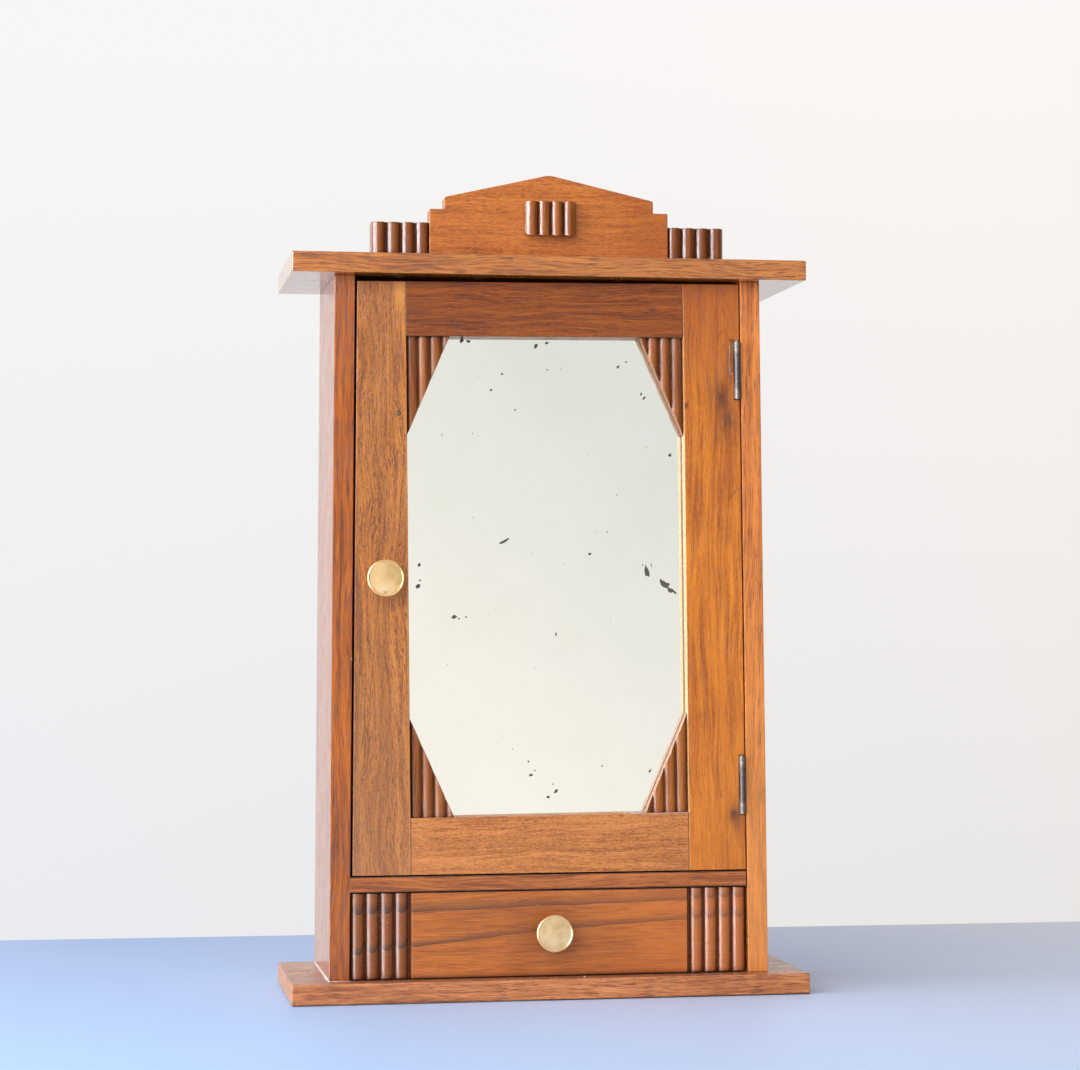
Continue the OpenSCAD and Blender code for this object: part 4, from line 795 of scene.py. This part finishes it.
def mirror_material(name, colour, metallic, rough):
    mat, t, b = material(name)
    b.inputs["Metallic"].default_value = metallic
    p = place(t, True)
    haze = t.noise(p, 0.012, 3.0, 0.55)
    specks = t.noise(p, 0.35)
    tint = t.mix(t.range(haze, 0.35, 0.65), rgb(colour), times(colour, (0.97, 0.98, 0.96)))
    tint = t.tint(tint, t.range(specks, 0.70, 0.78, 0.0, 0.35), times(colour, (0.7, 0.68, 0.64)))
    t.put(b.inputs["Base Color"], tint)
    t.put(b.inputs["Roughness"], t.range(haze, 0.3, 0.7, rough, rough + 0.02))
    return mat


def worn_outlines():
    """Outlines of all places without silvering"""
    rng = random.Random(7)
    shapes = [[(c[0] + x, c[1] + z) for x, z in outline] for c, outline in STAINS]
    spots = list(SPOTS)
    for _ in range(TINY_SPOTS):
        u, w = rng.uniform(OPEN_L + 8, OPEN_R - 8), rng.uniform(OPEN_B + 8, OPEN_T - 8)
        if (all(math.hypot(u - s[0], w - s[1]) > SPOT_GAP for s in spots)
                and math.hypot(u - STAINED[0], w - STAINED[1]) > STAINED[2]):
            size = rng.uniform(0.22, 0.5)
            spots.append((u, w, size, size * rng.uniform(0.6, 1.0), rng.uniform(0, 180)))
    for u, w, a, b, turn in spots:
        n = 7 if a < 1.0 else 14
        c, s = math.cos(math.radians(turn)), math.sin(math.radians(turn))
        ring = []
        for i in range(n):
            k = rng.uniform(0.72, 1.22)
            x, z = a * k * math.cos(math.tau * i / n), b * k * math.sin(math.tau * i / n)
            ring.append((u + x * c - z * s, w + x * s + z * c))
        shapes.append(ring)
    return shapes


def inside(x, z, ring):
    hit = False
    for (x0, z0), (x1, z1) in zip(ring, ring[1:] + ring[:1]):
        if (z0 > z) != (z1 > z) and x < x0 + (z - z0) * (x1 - x0) / (z1 - z0):
            hit = not hit
    return hit


def make_mirror():
    shapes = worn_outlines()
    u0, u1 = OPEN_L - PLATE_MARGIN, OPEN_R + PLATE_MARGIN
    w0, w1 = OPEN_B - PLATE_MARGIN, OPEN_T + PLATE_MARGIN
    points = [(u0, w0), (u1, w0), (u1, w1), (u0, w1)]
    lines = [(0, 1), (1, 2), (2, 3), (3, 0)]
    for ring in shapes:
        k = len(points)
        points += ring
        lines += [(k + i, k + (i + 1) % len(ring)) for i in range(len(ring))]
    verts, _, faces, *_ = geometry.delaunay_2d_cdt([Vector(c) for c in points], lines, [], 0, 1e-5)

    bm = bmesh.new()
    bv = [bm.verts.new(door_point(v[0], PLATE_FRONT, v[1])) for v in verts]
    for f in faces:
        x, z = sum(verts[i][0] for i in f) / len(f), sum(verts[i][1] for i in f) / len(f)
        face = bm.faces.new([bv[i] for i in f])
        face.material_index = 1 if any(inside(x, z, ring) for ring in shapes) else 0
    rim = [min(bv, key=lambda v: (v.co - door_point(u, PLATE_FRONT, w)).length) for u, w in points[:4]]
    back = [bm.verts.new(door_point(u, PLATE_REAR, w)) for u, w in points[:4]]
    bm.faces.new(back).material_index = 2
    for i in range(4):
        j = (i + 1) % 4
        bm.faces.new((rim[i], rim[j], back[j], back[i])).material_index = 2
    bmesh.ops.recalc_face_normals(bm, faces=bm.faces)
    mesh = bpy.data.meshes.new("mirror_plate")
    bm.to_mesh(mesh)
    bm.free()
    o = bpy.data.objects.new("mirror_plate", mesh)
    bpy.context.scene.collection.objects.link(o)
    mesh.materials.append(mirror_material("silvering", (0.95, 0.955, 0.935), 1.0, 0.015))
    mesh.materials.append(mirror_material("bare_spots", (0.085, 0.075, 0.066), 0.0, 0.35))
    mesh.materials.append(mirror_material("glass_edge", (0.16, 0.22, 0.19), 0.0, 0.25))
    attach(o, "door")
    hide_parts("mirror_glass")


# Small things that time has left: filler along the foot of a side, a plugged nail hole, crumbs of plaster

def plain(name, colour, shade, scale, rough):
    mat, t, b = material(name)
    patch = t.noise(place(t), scale, 4.0, 0.6)
    t.put(b.inputs["Base Color"], t.mix(t.range(patch, 0.38, 0.62), rgb(shade), rgb(colour)))
    t.put(b.inputs["Roughness"], t.range(patch, 0.3, 0.7, rough + 0.1, rough - 0.1))
    t.bump(b, patch, 0.0002)
    return mat


def skin(bm, rings):
    """Faces between rings of points, closed at both ends"""
    n = len(rings[0])
    for a, b in zip(rings, rings[1:]):
        for i in range(n):
            bm.faces.new((a[i], a[(i + 1) % n], b[(i + 1) % n], b[i]))
    bm.faces.new(rings[0])
    bm.faces.new(rings[-1])


def piece(name, bm, mat, body):
    bmesh.ops.recalc_face_normals(bm, faces=bm.faces)
    mesh = bpy.data.meshes.new(name)
    bm.to_mesh(mesh)
    bm.free()
    for f in mesh.polygons:
        f.use_smooth = True
    mesh.materials.append(mat)
    o = bpy.data.objects.new(name, mesh)
    bpy.context.scene.collection.objects.link(o)
    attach(o, body)


BEAD = 0.00085   # how thick the filler is
SUNK = -0.3e-3   # how far it reaches into the side


def make_filler(mat):
    """A bead along the foot of the left side: over its outer face, round the front corner, over its front"""
    rng = random.Random(3)
    lo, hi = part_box("left_side")
    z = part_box("base_board")[1].z
    steps = 70
    # x, y, outward direction, thickness: a lump towards the front end of the outer face
    path = [(lo.x, hi.y - 0.001 - (hi.y - lo.y - 0.001) * i / steps, -1.0, 0.0,
             1.0 + 0.9 * math.exp(-((i - 58) / 9.0) ** 2)) for i in range(steps)]
    path += [(lo.x, lo.y, -math.cos(a), -math.sin(a), 1.0) for a in (0.0, 0.5, 1.05, 1.57)]
    path += [(lo.x + 0.001 * i, lo.y, 0.0, -1.0, 0.75 - 0.028 * i) for i in range(1, 20)]
    bm, rings, size = bmesh.new(), [], 1.0
    for x, y, ox, oy, k in path:
        size += rng.uniform(-0.16, 0.16) + (1.0 - size) * 0.2
        w, h = BEAD * size * k, BEAD * (size + rng.uniform(-0.1, 0.1)) * k
        section = [(SUNK, -0.2e-3), (SUNK, h), (0.02e-3, h), (0.38 * w, 0.62 * h), (0.78 * w, 0.30 * h),
                   (w, -0.1e-3)]
        rings.append([bm.verts.new((x + ox * a, y + oy * a, z + b)) for a, b in section])
    skin(bm, rings)
    piece("foot_filler", bm, mat, "carcass")


PLUG_AT = (-299.4, 487.7)  # u, w
PLUG_RINGS = ((2.25, 1.3), (2.25, 0.90), (1.8, 0.78), (0.9, 0.84))  # radius, v
PLUG_SIDES = 20


def make_plug(mat):
    rng = random.Random(5)
    edge = [rng.uniform(0.93, 1.07) for _ in range(PLUG_SIDES)]
    bm, rings = bmesh.new(), []
    for r, v in PLUG_RINGS:
        ring = []
        for i, e in enumerate(edge):
            a = math.tau * i / PLUG_SIDES
            ring.append(bm.verts.new(door_point(PLUG_AT[0] + r * e * math.cos(a), v,
                                                PLUG_AT[1] + r * e * math.sin(a))))
        rings.append(ring)
    skin(bm, rings)
    piece("stile_plug", bm, mat, "door")


def make_crumbs(name, crumbs, mat, body):
    """Uneven grains at points, with their sizes, in mm"""
    rng = random.Random(len(name))
    bm = bmesh.new()
    for at, size in crumbs:
        made = bmesh.ops.create_icosphere(bm, subdivisions=2, radius=1.0)["verts"]
        turn = Matrix.Rotation(rng.uniform(0, 3), 3, "Y") @ Matrix.Rotation(rng.uniform(0, 3), 3, "X")
        lean = Vector((rng.uniform(0.8, 1.5), rng.uniform(0.45, 0.8), rng.uniform(0.4, 0.7)))
        for v in made:
            c = v.co * rng.uniform(0.82, 1.12)
            c = turn @ Vector((c.x * lean.x, c.y * lean.y, c.z * lean.z))
            v.co = (Vector(at) + c * size) * 0.001
    piece(name, bm, mat, body)


def make_details():
    plaster = plain("old_plaster", (0.74, 0.68, 0.65), (0.42, 0.33, 0.29), 0.8, 0.7)
    make_filler(plaster)
    make_plug(plain("plug_filler", (0.25, 0.13, 0.06), (0.06, 0.03, 0.02), 0.7, 0.5))
    make_crumbs("plaster_crumbs",
                [((27.6, -74.0, 18.2), 0.75), ((30.2, -75.5, 18.1), 0.4), ((42.4, -82.4, 16.3), 0.7),
                 ((44.6, -82.5, 15.4), 0.45), ((-69.1, -82.4, 14.7), 0.5), ((-172.6, -64.6, 292.2), 0.7),
                 ((-20.0, -79.0, 18.1), 0.35), ((86.0, -78.0, 18.1), 0.35)],
                plaster, "carcass")
    make_crumbs("drawer_flecks",
                [((-12.7, -64.5, 79.7), 0.4), ((100.2, -64.5, 61.1), 0.45), ((-8.0, -64.5, 36.5), 0.3),
                 ((61.0, -64.5, 47.0), 0.25)],
                plaster, "drawer")


make_camera()
make_table()
make_room()
make_lights()
make_woods()
make_metals()
make_mirror()
make_details()
soften()
